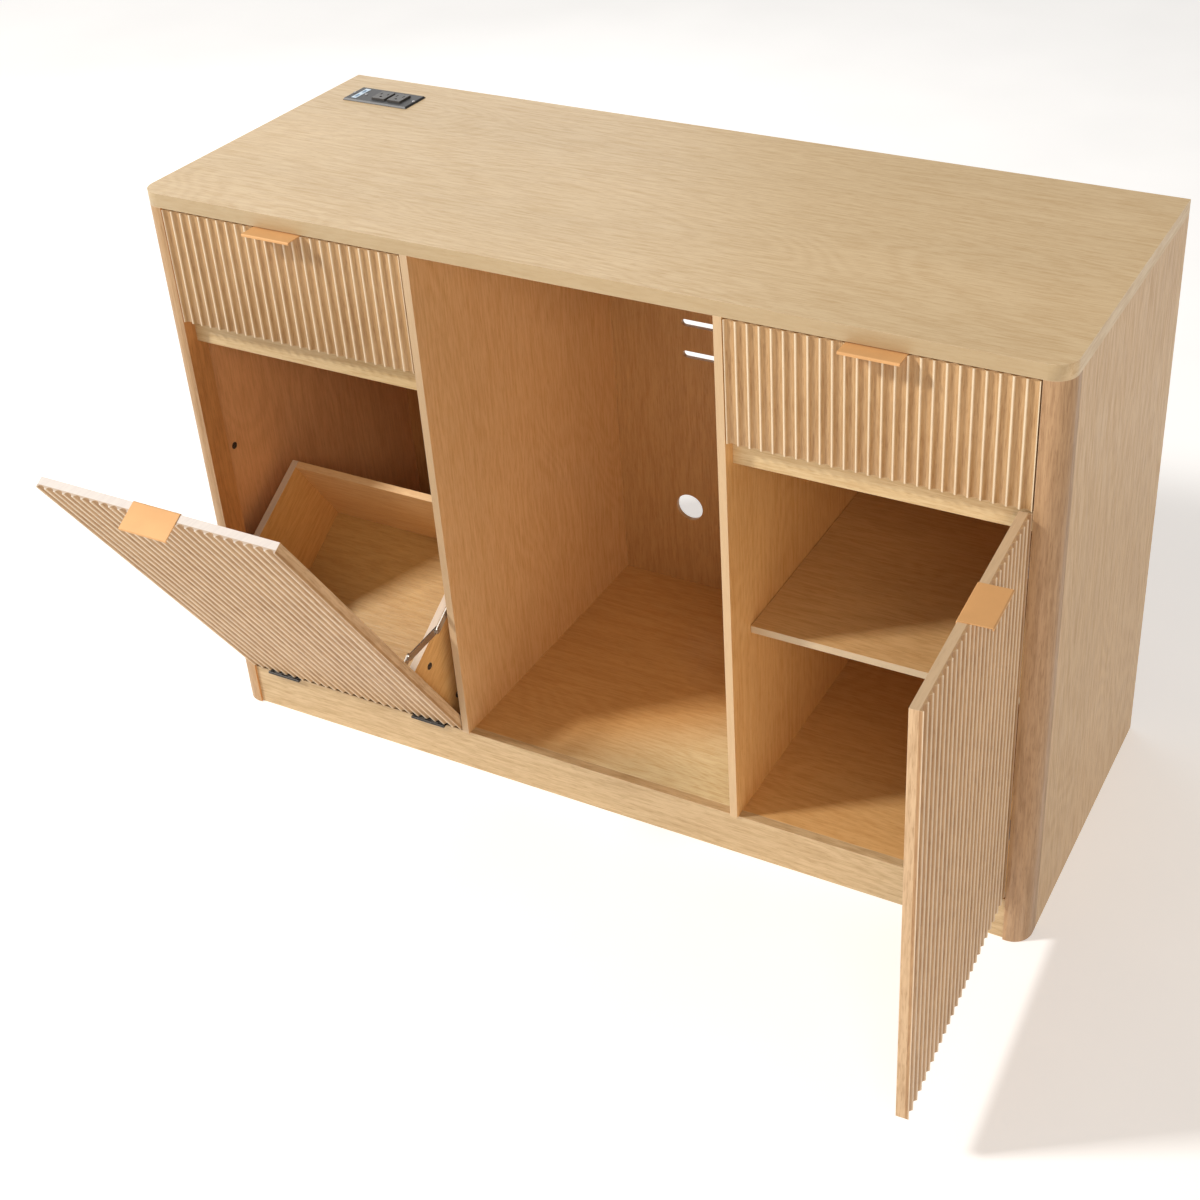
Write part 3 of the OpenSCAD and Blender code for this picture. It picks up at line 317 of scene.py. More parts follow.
def figure_of(tree, spot, ring_share):
    """How dark the veneer is, and its fibres, threads and pores, each from 0 to 1."""
    slow = noise(tree, spot, RING_STRETCH, 1.5, 0.45, 0.9)
    wave = math_node(tree, "SINE", math_node(tree, "MULTIPLY", slow, RING_COUNT))
    rings = math_node(tree, "MULTIPLY_ADD", wave, 0.5, 0.5)
    fibres = ramp(tree, noise(tree, spot, FIBRE_STRETCH, 3.0, 0.62, 0.2),
                  [(0.34, 0.0), (0.66, 1.0)])
    threads = ramp(tree, noise(tree, spot, THREAD_STRETCH, 2.0, 0.6),
                   [(0.32, 0.0), (0.68, 1.0)])
    pores = ramp(tree, noise(tree, spot, PORE_STRETCH, 1.0),
                 [(0.0, 0.0), (0.57, 0.0), (0.68, 1.0)])
    mixed = math_node(tree, "MULTIPLY", rings, ring_share)
    for part, share in ((fibres, 0.36), (threads, 0.34), (pores, 0.30)):
        mixed = math_node(tree, "ADD", mixed, math_node(tree, "MULTIPLY", part, share))
    return ramp(tree, mixed, [(0.24, 0.0), (0.82, 1.0)]), fibres, threads, pores


print("fibres vary", round(FIBRE_STRETCH[1] / FIBRE_STRETCH[0]), "times as fast across the grain")

# %% [markdown]
# ## Tone and painted light that differ over a board
# A board isn't one colour all over. Its edge banding is another strip of wood, and the top edges of
# the bin's door and tray get a painted highlight in its place. The face that looks into a bay gets
# painted warm bounce light, redder and lighter. One long floor or back panel runs through all three
# bays, and its parts past the dividers get painted light, lighter than the middle bay. The floor of
# the middle bay also gets a painted pool of light towards its front right, where daylight reaches
# it. Each of these is a mask: by the way the surface faces, by the distance from the cabinet's
# middle, or by the place along a direction.

# %% Tone and painted light that differ over a board
FACING_BEFORE, FACING_PAST = 0.35, 0.10
BAND_AND_HIGHLIGHT_LIMIT, FACE_LIMIT = 0.85, 0.5
BAND_AND_HIGHLIGHT_SHARE = 0.70
# Painted light: how much paler the lit zone of the middle bay's floor is
PAINTED_LIGHT_TINT = (1.31, 1.92, 3.00)


def towards(tree, coords, direction, limit):
    """One where the surface faces a direction, fading to zero as it turns away."""
    facing = dot(tree, coords.outputs["Normal"], direction)
    return soft_step(tree, facing, limit - FACING_BEFORE, limit + FACING_PAST)


def from_middle(tree, coords, comparison):
    """Compares the distance from the cabinet's middle with that of the dividers."""
    x = split(tree, coords.outputs["Object"])[0]
    return math_node(tree, comparison, math_node(tree, "ABSOLUTE", x), DIVIDER_MID)


def band_and_highlight_edge(tree, coords, color, direction, band_and_highlight_color):
    """A strip of edge banding on the edge that faces a direction, which on the bin's top edges is a
    painted highlight instead.
    """
    share = math_node(tree, "MULTIPLY", towards(tree, coords, direction, BAND_AND_HIGHLIGHT_LIMIT), BAND_AND_HIGHLIGHT_SHARE)
    return mix_color(tree, share, color, band_and_highlight_color)


def bounce_lit_face(tree, coords, color, direction, tint):
    """Painted warm bounce light on the whole face that faces a direction."""
    return mix_color(tree, towards(tree, coords, direction, FACE_LIMIT), color, tint, "MULTIPLY")


def lit_past_dividers(tree, coords, color, direction, tint):
    """Painted light on that face past the dividers."""
    face = towards(tree, coords, direction, FACE_LIMIT)
    outside = math_node(tree, "MULTIPLY", from_middle(tree, coords, "GREATER_THAN"), face)
    return mix_color(tree, outside, color, tint, "MULTIPLY")


def painted_light_zone(tree, coords, color, direction, start, end):
    """A painted pool of light between the dividers, from one distance along a direction to another.
    """
    reach = soft_step(tree, dot(tree, coords.outputs["Object"], direction), start, end)
    reach = math_node(tree, "MULTIPLY", reach, from_middle(tree, coords, "LESS_THAN"))
    return mix_color(tree, reach, color, PAINTED_LIGHT_TINT, "MULTIPLY")


widest = math.degrees(math.acos(FACE_LIMIT - FACING_BEFORE))
print("the tint of a face ends", round(widest), "degrees away from its direction")

# %% [markdown]
# ## Painted shade and highlight of the flutes
# The hollows of the fluted fronts get painted shade, browner, and the ridges get a painted
# highlight, paler. The depth below the ridges, in centimetres, steers both. It is measured along
# the front's own outward direction, because the bin and the right door rest open in this model, and
# their surfaces are turned.

# %% Painted shade and highlight of the flutes
PER_CENTIMETRE = 100.0
FLUTE_HOLLOW_SHADE = (0.72, 0.61, 0.49)
RIDGE_HIGHLIGHT = (0.900, 0.790, 0.620)
HOLLOW_SHADE_STOPS = [(0.0, 0.0), (0.10, 0.30), (0.24, 1.0), (0.50, 1.0), (0.53, 0.0)]
RIDGE_HIGHLIGHT_STOPS = [(0.0, 0.60), (0.06, 0.45), (0.15, 0.0)]


def fluted(tree, coords, color, outward, ridges):
    """Painted shade in the hollows and a painted highlight on the ridges of a front whose ridges
    lie that far outward.
    """
    below = math_node(tree, "SUBTRACT", ridges, dot(tree, coords.outputs["Object"], outward))
    depth = math_node(tree, "MULTIPLY", below, PER_CENTIMETRE)
    color = mix_color(tree, ramp(tree, depth, HOLLOW_SHADE_STOPS), color, FLUTE_HOLLOW_SHADE, "MULTIPLY")
    return mix_color(tree, ramp(tree, depth, RIDGE_HIGHLIGHT_STOPS), color, RIDGE_HIGHLIGHT)


print("hollows are darkest from", HOLLOW_SHADE_STOPS[2][0], "to", HOLLOW_SHADE_STOPS[3][0], "cm deep")

# %% [markdown]
# ## Oak veneer
# Now one function can make the material of any board: the figure along its grain, a slow cloud of
# warmer and cooler wood, the tones that differ over it with painted light and shade among them, and
# arrises rubbed a little paler, partly wear and partly a painted highlight.
# The lacquer is satin, a bit duller over the fibres, and the pores stay as fine pits under it.

# %% Oak veneer
FACE = ((0.745, 0.560, 0.335), (0.530, 0.350, 0.175))
CLOUD_STRETCH, CLOUD_SHARE = (1.4, 4.5, 4.5), 0.75
CLOUD_STOPS = [(0.30, (0.92, 0.90, 0.87)), (0.70, (1.05, 1.04, 1.03))]
WEAR_AND_HIGHLIGHT_RADIUS, WEAR_AND_HIGHLIGHT_SHARE, WEAR_AND_HIGHLIGHT_COLOR = 0.0016, 0.25, (0.86, 0.72, 0.52)
SATIN_ROUGH, FIBRE_ROUGH = 0.36, 0.16
THREAD_HEIGHT, PORE_HEIGHT = 0.6, -0.7
RELIEF, RELIEF_STRENGTH = 0.0004, 0.22
LACQUER_SPECULAR = 0.42


def oak(name, grain, tone=FACE, seed=0, rings=0.16, gloss=0.0, band_and_highlight=None, inner=None,
        ends=None, painted_light=None, flutes=None):
    """Oak with its grain along a direction, in a (light, dark) pair of colours.

    The last five say what differs over the board, in the order of the functions above: edge
    banding, which on the bin's top edges is a painted highlight, painted warm bounce light on the
    face that looks into a bay, painted light past the dividers, a painted pool of light, and
    painted shade and highlight on the flutes.
    """
    material, tree, shader, coords = new_material(name)
    spot = along_grain(tree, coords, grain, seed)
    shade, fibres, threads, pores = figure_of(tree, spot, rings)
    cloud = ramp(tree, noise(tree, spot, CLOUD_STRETCH, 2.0), CLOUD_STOPS)
    color = mix_color(tree, shade, *tone)
    color = mix_color(tree, CLOUD_SHARE, color, cloud, "MULTIPLY")
    for change, values in ((band_and_highlight_edge, band_and_highlight), (bounce_lit_face, inner), (lit_past_dividers, ends),
                           (painted_light_zone, painted_light), (fluted, flutes)):
        if values:
            color = change(tree, coords, color, *values)
    # Arrises paler: partly wear, partly a painted highlight
    wear_and_highlight = math_node(tree, "MULTIPLY", edge_mask(tree, WEAR_AND_HIGHLIGHT_RADIUS), WEAR_AND_HIGHLIGHT_SHARE)
    color = mix_color(tree, wear_and_highlight, color, WEAR_AND_HIGHLIGHT_COLOR)
    tree.links.new(color, shader.inputs["Base Color"])

    rough = math_node(tree, "MULTIPLY_ADD", fibres, FIBRE_ROUGH, SATIN_ROUGH - gloss)
    tree.links.new(rough, shader.inputs["Roughness"])
    height = math_node(tree, "ADD", math_node(tree, "MULTIPLY", threads, THREAD_HEIGHT),
                       math_node(tree, "MULTIPLY", pores, PORE_HEIGHT))
    bump = put(tree, "ShaderNodeBump",
               {"Height": height, "Strength": RELIEF_STRENGTH, "Distance": RELIEF})
    tree.links.new(bump.outputs[0], shader.inputs["Normal"])
    shader.inputs["Specular IOR Level"].default_value = LACQUER_SPECULAR
    return material


print("pores are pits of", round(-PORE_HEIGHT * RELIEF * 1000, 2), "mm at full strength")

# %% [markdown]
# ## Fronts that rest open
# The model rests as the photograph shows it, with the bin leaning out and the right door open.
# What is worked out on a shut front, such as the direction of its grain, is turned into that
# pose. The frame's joints give the line to turn about and the angle. Both joints rest at the
# open end of their range, so the lower limit is the way back to shut, and the same angle in the
# other direction opens the front.

# %% Fronts that rest open
joints = {joint["name"]: joint for joint in frame["joints"]}
SHUT = Matrix.Identity(4)


def open_pose(joint_name):
    """The turn from a shut front to the open pose in which it rests."""
    joint = joints[joint_name]
    there = Matrix.Translation(joint["pos_m"])
    angle = -math.radians(joint["range_deg"][0])
    return there @ Matrix.Rotation(angle, 4, Vector(joint["axis"])) @ there.inverted()


def outward_ridges(pose):
    """The outward direction of a front in its pose, and how far its ridges lie along it."""
    outward = pose.to_3x3() @ Vector(FRONT)
    return tuple(outward), outward.dot(pose @ Vector((0, RIDGE_Y, 0)))


TILTED = open_pose("tilt_out_hinge")
SWUNG = open_pose("right_door_hinge")
DOOR_UP = tuple(TILTED.to_3x3() @ Vector(UP))
DOOR_DEEP = tuple(TILTED.to_3x3() @ Vector(DEEP))
print("up along the open bin's door:", tuple(round(v, 3) for v in DOOR_UP))

# %% [markdown]
# ## Tones of the boards
# The same oak looks different from board to board. The worktop and the fronts are cool and pale,
# the insides are warmer, and the corner posts and the back panel are darkest. Part of this is
# painted light and shade: the warmer insides and the lighter right divider are painted bounce
# light, the darker corner posts, back panel and floor are painted shade, and the lighter back wall
# of the tray is painted light. Each pair below is the light and the dark of one board's figure, in
# linear light, matched to how that board looks in the photograph under the lights above.

# %% Tones of the boards
# Painted light and shade in these tones: warmer insides and a lighter right divider as bounce
# light, darker posts, floor and back as shade, a lighter tray back wall as light
WORKTOP = ((0.755, 0.580, 0.350), (0.625, 0.440, 0.235))
LEFT_SIDE = ((0.710, 0.525, 0.305), (0.580, 0.400, 0.215))
RIGHT_SIDE = ((0.735, 0.510, 0.275), (0.575, 0.360, 0.175))
LEFT_POST = ((0.500, 0.310, 0.150), (0.380, 0.215, 0.090))
RIGHT_POST = ((0.520, 0.325, 0.175), (0.350, 0.200, 0.095))
LEFT_DIVIDER = ((0.750, 0.495, 0.260), (0.620, 0.370, 0.165))
RIGHT_DIVIDER = ((0.900, 0.590, 0.270), (0.750, 0.440, 0.170))
FLOOR_BOARD = ((0.640, 0.385, 0.155), (0.525, 0.280, 0.095))
BACK_BOARD = ((0.525, 0.300, 0.122), (0.425, 0.215, 0.077))
PLINTH = ((0.630, 0.470, 0.270), (0.455, 0.310, 0.155))
RAILS = ((0.700, 0.540, 0.305), (0.570, 0.400, 0.195))
TILT_DOOR = ((0.660, 0.490, 0.310), (0.450, 0.290, 0.155))
RIGHT_DOOR = ((0.700, 0.490, 0.290), (0.490, 0.310, 0.165))
INSIDE = ((0.770, 0.495, 0.220), (0.640, 0.370, 0.140))
TRAY_SIDES = ((0.780, 0.490, 0.200), (0.650, 0.365, 0.130))
TRAY_BACK = ((0.920, 0.640, 0.340), (0.790, 0.500, 0.235))
TRAY_FLOOR = ((0.610, 0.395, 0.150), (0.500, 0.295, 0.095))
SHELF = ((0.660, 0.430, 0.200), (0.530, 0.315, 0.125))

TOP_BAND = (0.410, 0.310, 0.175)
DIVIDER_BAND = (0.560, 0.430, 0.280)
SHELF_BAND = (0.560, 0.490, 0.360)
RIGHT_DOOR_BAND = (0.600, 0.450, 0.290)
# Painted highlights on the top edges of the bin's door and its tray
TILT_TOP_HIGHLIGHT = (0.800, 0.790, 0.800)
TRAY_TOP_HIGHLIGHT = (0.770, 0.710, 0.640)

# Painted warm bounce light on the faces of the left side and post that look into the bay
WALL_BOUNCE_LIGHT = (1.38, 1.07, 0.92)
POST_BOUNCE_LIGHT = (1.50, 1.22, 0.95)
# Painted light: the back panel and floor are lighter past the dividers
BACK_SIDE_BAY_LIGHT = (1.40, 1.36, 1.30)
FLOOR_SIDE_BAY_LIGHT = (1.12, 1.16, 1.20)
contrast = sum(WORKTOP[0]) / sum(LEFT_POST[0])
print("the worktop is", round(contrast, 2), "times as bright as the left corner post")

# %% [markdown]
# ## Boards
# The plan says for each board which way its grain runs and which tone it has. Upright boards have
# upright grain, and wide ones have it along the cabinet. Every board gets its own seed, so no two
# show the same figure. The light falls into the middle bay past the left divider, so the painted
# pool of light on the floor grows along a slanting direction, towards the front and the right.

# %% Boards
LIGHT_SLANT = (0.742, -1.0, 0.0)
LIGHT_ZONE_FROM, LIGHT_ZONE_TO = 0.10, 0.31
POST_RINGS, FRONT_RINGS = 0.12, 0.10
DRAWER_FRONT = dict(grain=UP, rings=FRONT_RINGS, flutes=outward_ridges(SHUT))
DRAWER_INSIDE = dict(grain=DEEP, tone=INSIDE)

plan = {
    "top_board": dict(grain=ALONG, tone=WORKTOP, gloss=0.05, band_and_highlight=(FRONT, TOP_BAND)),
    "left_side_panel": dict(grain=UP, tone=LEFT_SIDE, inner=(ALONG, WALL_BOUNCE_LIGHT)),
    "right_side_panel": dict(grain=UP, tone=RIGHT_SIDE),
    "left_corner_post": dict(grain=UP, tone=LEFT_POST, rings=POST_RINGS,
                             inner=(ALONG, POST_BOUNCE_LIGHT)),
    "right_corner_post": dict(grain=UP, tone=RIGHT_POST, rings=POST_RINGS),
    "left_divider": dict(grain=UP, tone=LEFT_DIVIDER, band_and_highlight=(FRONT, DIVIDER_BAND)),
    "right_divider": dict(grain=UP, tone=RIGHT_DIVIDER, band_and_highlight=(FRONT, DIVIDER_BAND)),
    "floor_panel": dict(grain=ALONG, tone=FLOOR_BOARD, ends=(UP, FLOOR_SIDE_BAY_LIGHT),
                        painted_light=(LIGHT_SLANT, LIGHT_ZONE_FROM, LIGHT_ZONE_TO)),
    "back_panel": dict(grain=UP, tone=BACK_BOARD, ends=(FRONT, BACK_SIDE_BAY_LIGHT)),
    "front_plinth": dict(grain=ALONG, tone=PLINTH),
    "back_plinth": dict(grain=ALONG),
    "floor_bearers": dict(grain=DEEP, tone=INSIDE),
    "drawer_rails": dict(grain=ALONG, tone=RAILS),
    "runner_packers": dict(grain=DEEP, tone=INSIDE),
    "left_drawer_front": DRAWER_FRONT,
    "right_drawer_front": DRAWER_FRONT,
    "tilt_door": dict(grain=DOOR_UP, tone=TILT_DOOR, rings=FRONT_RINGS,
                      band_and_highlight=(DOOR_UP, TILT_TOP_HIGHLIGHT), flutes=outward_ridges(TILTED)),
    "right_door_panel": dict(grain=UP, tone=RIGHT_DOOR, rings=FRONT_RINGS,
                             band_and_highlight=(UP, RIGHT_DOOR_BAND), flutes=outward_ridges(SWUNG)),
    "left_drawer_box": DRAWER_INSIDE,
    "right_drawer_box": DRAWER_INSIDE,
    "left_drawer_bottom": DRAWER_INSIDE,
    "right_drawer_bottom": DRAWER_INSIDE,
    "tray_side_walls": dict(grain=DOOR_DEEP, tone=TRAY_SIDES, band_and_highlight=(DOOR_UP, TRAY_TOP_HIGHLIGHT)),
    "tray_back_wall": dict(grain=ALONG, tone=TRAY_BACK),
    "tray_floor": dict(grain=ALONG, tone=TRAY_FLOOR),
    "shelf": dict(grain=ALONG, tone=SHELF, band_and_highlight=(FRONT, SHELF_BAND)),
}
for seed, (node_name, look) in enumerate(plan.items(), 1):
    paint(nodes[node_name], oak("oak_" + node_name, seed=seed, **look))
print("oak on", len(plan), "nodes")

# %% [markdown]
# ## Soft arrises
# A real board never ends in a knife edge: banding is trimmed and sanded, which leaves a rounding
# of about half a millimetre that catches the light. Three modifiers do this without touching the
# CAD mesh. One joins the doubled vertices, one merges the flat triangles of a face, and the third
# rounds every edge that is sharp enough.

# %% Soft arrises
ARRIS, TOP_ARRIS = 0.0006, 0.0012
JOIN_WITHIN, FLAT_ANGLE = 0.00001, 0.5
BOARD_ANGLE, PIECE_ANGLE = 32, 40


def round_edges(obj, width, angle):
    """Rounds the edges of an object that turn by more than an angle in degrees."""
    bevel = obj.modifiers.new("soft_arris", "BEVEL")
    bevel.width = width
    bevel.segments = 2
    bevel.limit_method = "ANGLE"
    bevel.angle_limit = math.radians(angle)
    bevel.harden_normals = True


def soften(obj, width):
    """The three modifiers of a board, in the order in which they act."""
    weld = obj.modifiers.new("joined", "WELD")
    weld.merge_threshold = JOIN_WITHIN
    flat = obj.modifiers.new("flat_faces", "DECIMATE")
    flat.decimate_type = "DISSOLVE"
    flat.angle_limit = math.radians(FLAT_ANGLE)
    round_edges(obj, width, BOARD_ANGLE)


for node_name in plan:
    soften(nodes[node_name], TOP_ARRIS if node_name == "top_board" else ARRIS)
print("rounded", len(plan), "boards")

# %% [markdown]
# ## Metals and plastics
# The pulls are steel with a satin gold lacquer. The screws, runners and concealed hinges are bright
# zinc, the cam locks are zinc painted dark as the shade in their recesses, the butt hinges are
# black and the stay is plain steel. The power unit is black plastic with grey receptacles and a
# pale blue charging port. Most get a painted highlight on their arrises, which on the cam locks is
# a painted glint. Each gets its own roughness pattern, because a surface that reflects evenly all
# over looks like a computer drawing.

# %% Metals and plastics
MOTTLE_STRETCH = (22, 22, 22)
EDGE_HIGHLIGHT_RADIUS, EDGE_HIGHLIGHT_SHARE = 0.0005, 0.6
ROUGH_SPREAD = 0.14
FINE_RELIEF = 0.0002


def fitting(name, color, metallic, rough, grain=(900, 900, 900), bump=0.05, edge=None, vary=0.10):
    """A metal or plastic with a fine grain, uneven gloss and a painted highlight on its arrises."""
    material, tree, shader, coords = new_material(name)
    spot = coords.outputs["Object"]
    fine = noise(tree, spot, grain, 3.0, 0.6)
    slow = noise(tree, spot, MOTTLE_STRETCH, 3.0, 0.55)
    low = tuple(c * (1 - vary) for c in color)
    high = tuple(min(1.0, c * (1 + vary)) for c in color)
    base = ramp(tree, slow, [(0.3, low), (0.7, high)])
    if edge is not None:
        wear_and_highlight = math_node(tree, "MULTIPLY", edge_mask(tree, EDGE_HIGHLIGHT_RADIUS), EDGE_HIGHLIGHT_SHARE)
        base = mix_color(tree, wear_and_highlight, base, edge)
    tree.links.new(base, shader.inputs["Base Color"])
    gloss = math_node(tree, "MULTIPLY_ADD", fine, ROUGH_SPREAD, rough - ROUGH_SPREAD / 2)
    tree.links.new(gloss, shader.inputs["Roughness"])
    relief = put(tree, "ShaderNodeBump",
                 {"Height": fine, "Strength": bump, "Distance": FINE_RELIEF})
    tree.links.new(relief.outputs[0], shader.inputs["Normal"])
    shader.inputs["Metallic"].default_value = metallic
    return material


# The edge colours below are painted highlights on the arrises
satin_gold = fitting("satin_gold", (0.73, 0.405, 0.165), metallic=0.14, rough=0.60, bump=0.04,
                     edge=(0.92, 0.70, 0.40), vary=0.04)
zinc = fitting("zinc_steel", (0.55, 0.55, 0.57), metallic=1.0, rough=0.38,
               grain=(300, 1200, 1200))
dark_steel = fitting("black_steel", (0.045, 0.042, 0.040), metallic=0.6, rough=0.42,
                     edge=(0.30, 0.30, 0.31))
# Cam locks: a dark base as painted shade of their recesses, and a painted glint on their arrises
zinc_painted_shade = fitting("zinc_painted_shade", (0.085, 0.075, 0.065), metallic=0.7, rough=0.34,
                    edge=(0.80, 0.77, 0.72))
stay_steel = fitting("stay_steel", (0.52, 0.47, 0.42), metallic=0.9, rough=0.34,
                     edge=(0.85, 0.82, 0.78))
black_plastic = fitting("black_plastic", (0.030, 0.030, 0.032), metallic=0.0, rough=0.42,
                        bump=0.08, edge=(0.22, 0.23, 0.25))
grey_plastic = fitting("grey_plastic", (0.085, 0.080, 0.076), metallic=0.0, rough=0.38,
                       bump=0.06, edge=(0.50, 0.50, 0.50))
blue_plastic = fitting("blue_plastic", (0.64, 0.79, 0.94), metallic=0.0, rough=0.30,
                       bump=0.03, vary=0.05)


def finish_of(name):
    """The finish of a fitting, by the name of its node."""
    if name.endswith("pull"):
        return satin_gold
    if name.startswith("butt"):
        return dark_steel
    if name.startswith("stay"):
        return stay_steel
    if name.endswith("cam_locks"):
        return zinc_painted_shade
    power = {"power_plate": black_plastic, "power_housing": black_plastic,
             "power_receptacles": grey_plastic, "power_usb_port": blue_plastic}
    return power.get(name, zinc)


fittings = [name for name in nodes if name not in plan]
for node_name in fittings:
    paint(nodes[node_name], finish_of(node_name))
print("painted", len(fittings), "fittings")

# %% [markdown]
# ## From a mesh to a piece
# Every new piece goes through the same steps: its mesh is turned into the pose in which it rests
# and shaded smooth up to a limit, it gets its finish, and it is told which body it rides on. A
# mirrored copy would come out inside-out, so its faces are flipped back.

# %% From a mesh to a piece
MIRROR = Matrix.Scale(-1, 4, Vector(ALONG))


def new_piece(name, bm, material, body, pose=SHUT, bevel=0.0, smooth=32):
    """Turns a mesh under construction into a piece that rides on a body."""
    bmesh.ops.recalc_face_normals(bm, faces=bm.faces)
    mesh = bpy.data.meshes.new(name)
    bm.to_mesh(mesh)
    bm.free()
    mesh.transform(pose)
    if pose.determinant() < 0:
        mesh.flip_normals()
    mesh.polygons.foreach_set("use_smooth", [True] * len(mesh.polygons))
    mesh.set_sharp_from_angle(angle=math.radians(smooth))
    piece = bpy.data.objects.new(name, mesh)
    scene.collection.objects.link(piece)
    if bevel:
        round_edges(piece, bevel, PIECE_ANGLE)
    paint(piece, material)
    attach(piece, body)
    return piece


def join_rings(bm, rings):
    """Faces between rings of as many points each."""
    count = len(rings[0])
    for low, high in zip(rings, rings[1:]):
        for i in range(count):
            j = (i + 1) % count
            bm.faces.new((low[i], low[j], high[j], high[i]))


print("pieces of the left side are mirrored copies of the right side's")

# %% [markdown]
# ## Bending a strip
# A bent sheet has a rounded outside at each fold. So a strip is drawn as the line through the
# middle of its thickness, with a fillet in each corner, and then given the sheet's thickness on
# both sides of that line.

# %% Bending a strip
FOLD_STEPS = 6


def filleted(points, radius):
    """The corners of an open line in a plane, each replaced by an arc."""
    line = [Vector(points[0])]
    for before, corner, after in zip(points, points[1:], points[2:]):
        a = (Vector(before) - Vector(corner)).normalized()
        b = (Vector(after) - Vector(corner)).normalized()
        half = a.angle(b) / 2
        reach = radius / math.tan(half)
        middle = Vector(corner) + (a + b).normalized() * radius / math.sin(half)
        start = Vector(corner) + a * reach - middle
        end = Vector(corner) + b * reach - middle
        for i in range(FOLD_STEPS + 1):
            t = i / FOLD_STEPS
            line.append(middle + (start * (1 - t) + end * t).normalized() * radius)
    line.append(Vector(points[-1]))
    return line


def bent_strip(line, thickness, x0, x1):
    """A sheet of a given thickness along a line of (y, z) points, from x0 to x1."""
    sides = []
    for i, point in enumerate(line):
        ahead = line[min(i + 1, len(line) - 1)] - line[max(i - 1, 0)]
        across = Vector((-ahead.y, ahead.x)).normalized() * thickness / 2
        sides.append((point + across, point - across))
    bm = bmesh.new()
    rows = [[bm.verts.new((x, p.x, p.y)) for pair in sides for p in pair] for x in (x0, x1)]
    for i in range(len(line) - 1):
        a, b, c, d = 2 * i, 2 * i + 2, 2 * i + 1, 2 * i + 3
        bm.faces.new((rows[0][a], rows[0][b], rows[1][b], rows[1][a]))
        bm.faces.new((rows[0][d], rows[0][c], rows[1][c], rows[1][d]))
        bm.faces.new((rows[0][a], rows[0][c], rows[0][d], rows[0][b]))
        bm.faces.new((rows[1][a], rows[1][b], rows[1][d], rows[1][c]))
    for i in (0, 2 * len(line) - 2):
        bm.faces.new((rows[0][i], rows[0][i + 1], rows[1][i + 1], rows[1][i]))
    return bm


print("each fold is an arc of", FOLD_STEPS, "steps")

# %% [markdown]
# ## Tab pulls
# Each pull is one strip of sheet steel, bent twice: a leg that is screwed behind the front, a
# flat tab over its top edge, and a small lip for the fingers. The same strip serves all four
# fronts, and only its place differs: the drawers are shut, the bin leans out and the door
# stands open.

# %% Tab pulls
SHEET, FOLD = 0.0015, 0.0012
PULL_LENGTH, PULL_REACH = 0.082, 0.026
LEG, LIP = 0.020, 0.0025
PULL_ARRIS = 0.0003


def tab_pull(name, top, body, pose):
    """A pull over the top edge of a front, in place of the CAD model's plain one."""
    behind = BEHIND + SHEET / 2
    out = RIDGE_Y - PULL_REACH + SHEET / 2
    line = filleted([(behind, top - LEG), (behind, top + SHEET / 2),
                     (out, top + SHEET / 2), (out, top - LIP)], FOLD)
    bm = bent_strip(line, SHEET, BAY - PULL_LENGTH / 2, BAY + PULL_LENGTH / 2)
    piece = new_piece(name, bm, satin_gold, body, pose, bevel=PULL_ARRIS)
    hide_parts(name.replace("_tab", "_pull"))


tab_pull("left_drawer_tab", DRAWER_TOP, "left_drawer", MIRROR)
tab_pull("right_drawer_tab", DRAWER_TOP, "right_drawer", SHUT)
tab_pull("tilt_tab", DOOR_TOP, "tilt_out", TILTED @ MIRROR)
tab_pull("right_door_tab", DOOR_TOP, "right_door", SWUNG)
print("tab pulls:", round(PULL_LENGTH * 1000), "mm long,", round(PULL_REACH * 1000), "mm reach")

# %% [markdown]
# ## Screws with a cross recess
# Every fitting is held by small wood screws with a domed head and a cross recess. In the CAD
# model a screw is a plain rod, so the ones that can be seen are built again here: the head is
# a stack of rings, and its flat crown is filled around a cross that is sunk into it. One
# builder serves all sizes, and the screws of a moving group are joined into one piece.

# %% Building a screw
SCREW_SIDES = 20
SHANK_WIDTH, SHANK_TIP = 0.003, 0.2
# Radius and height of each ring of the head, as shares of the head's radius and height
HEAD_RINGS = ((1.0, 0.0), (1.0, 0.30), (0.86, 0.74), (0.66, 1.0))
# Half the width of the cross and half its length, as shares of the head's radius
SLOT, ARM = 0.13, 0.46
# How much of its outline is left on its floor, and the floor's share of the head's height
TAPER, SLOT_FLOOR = 0.8, 0.35


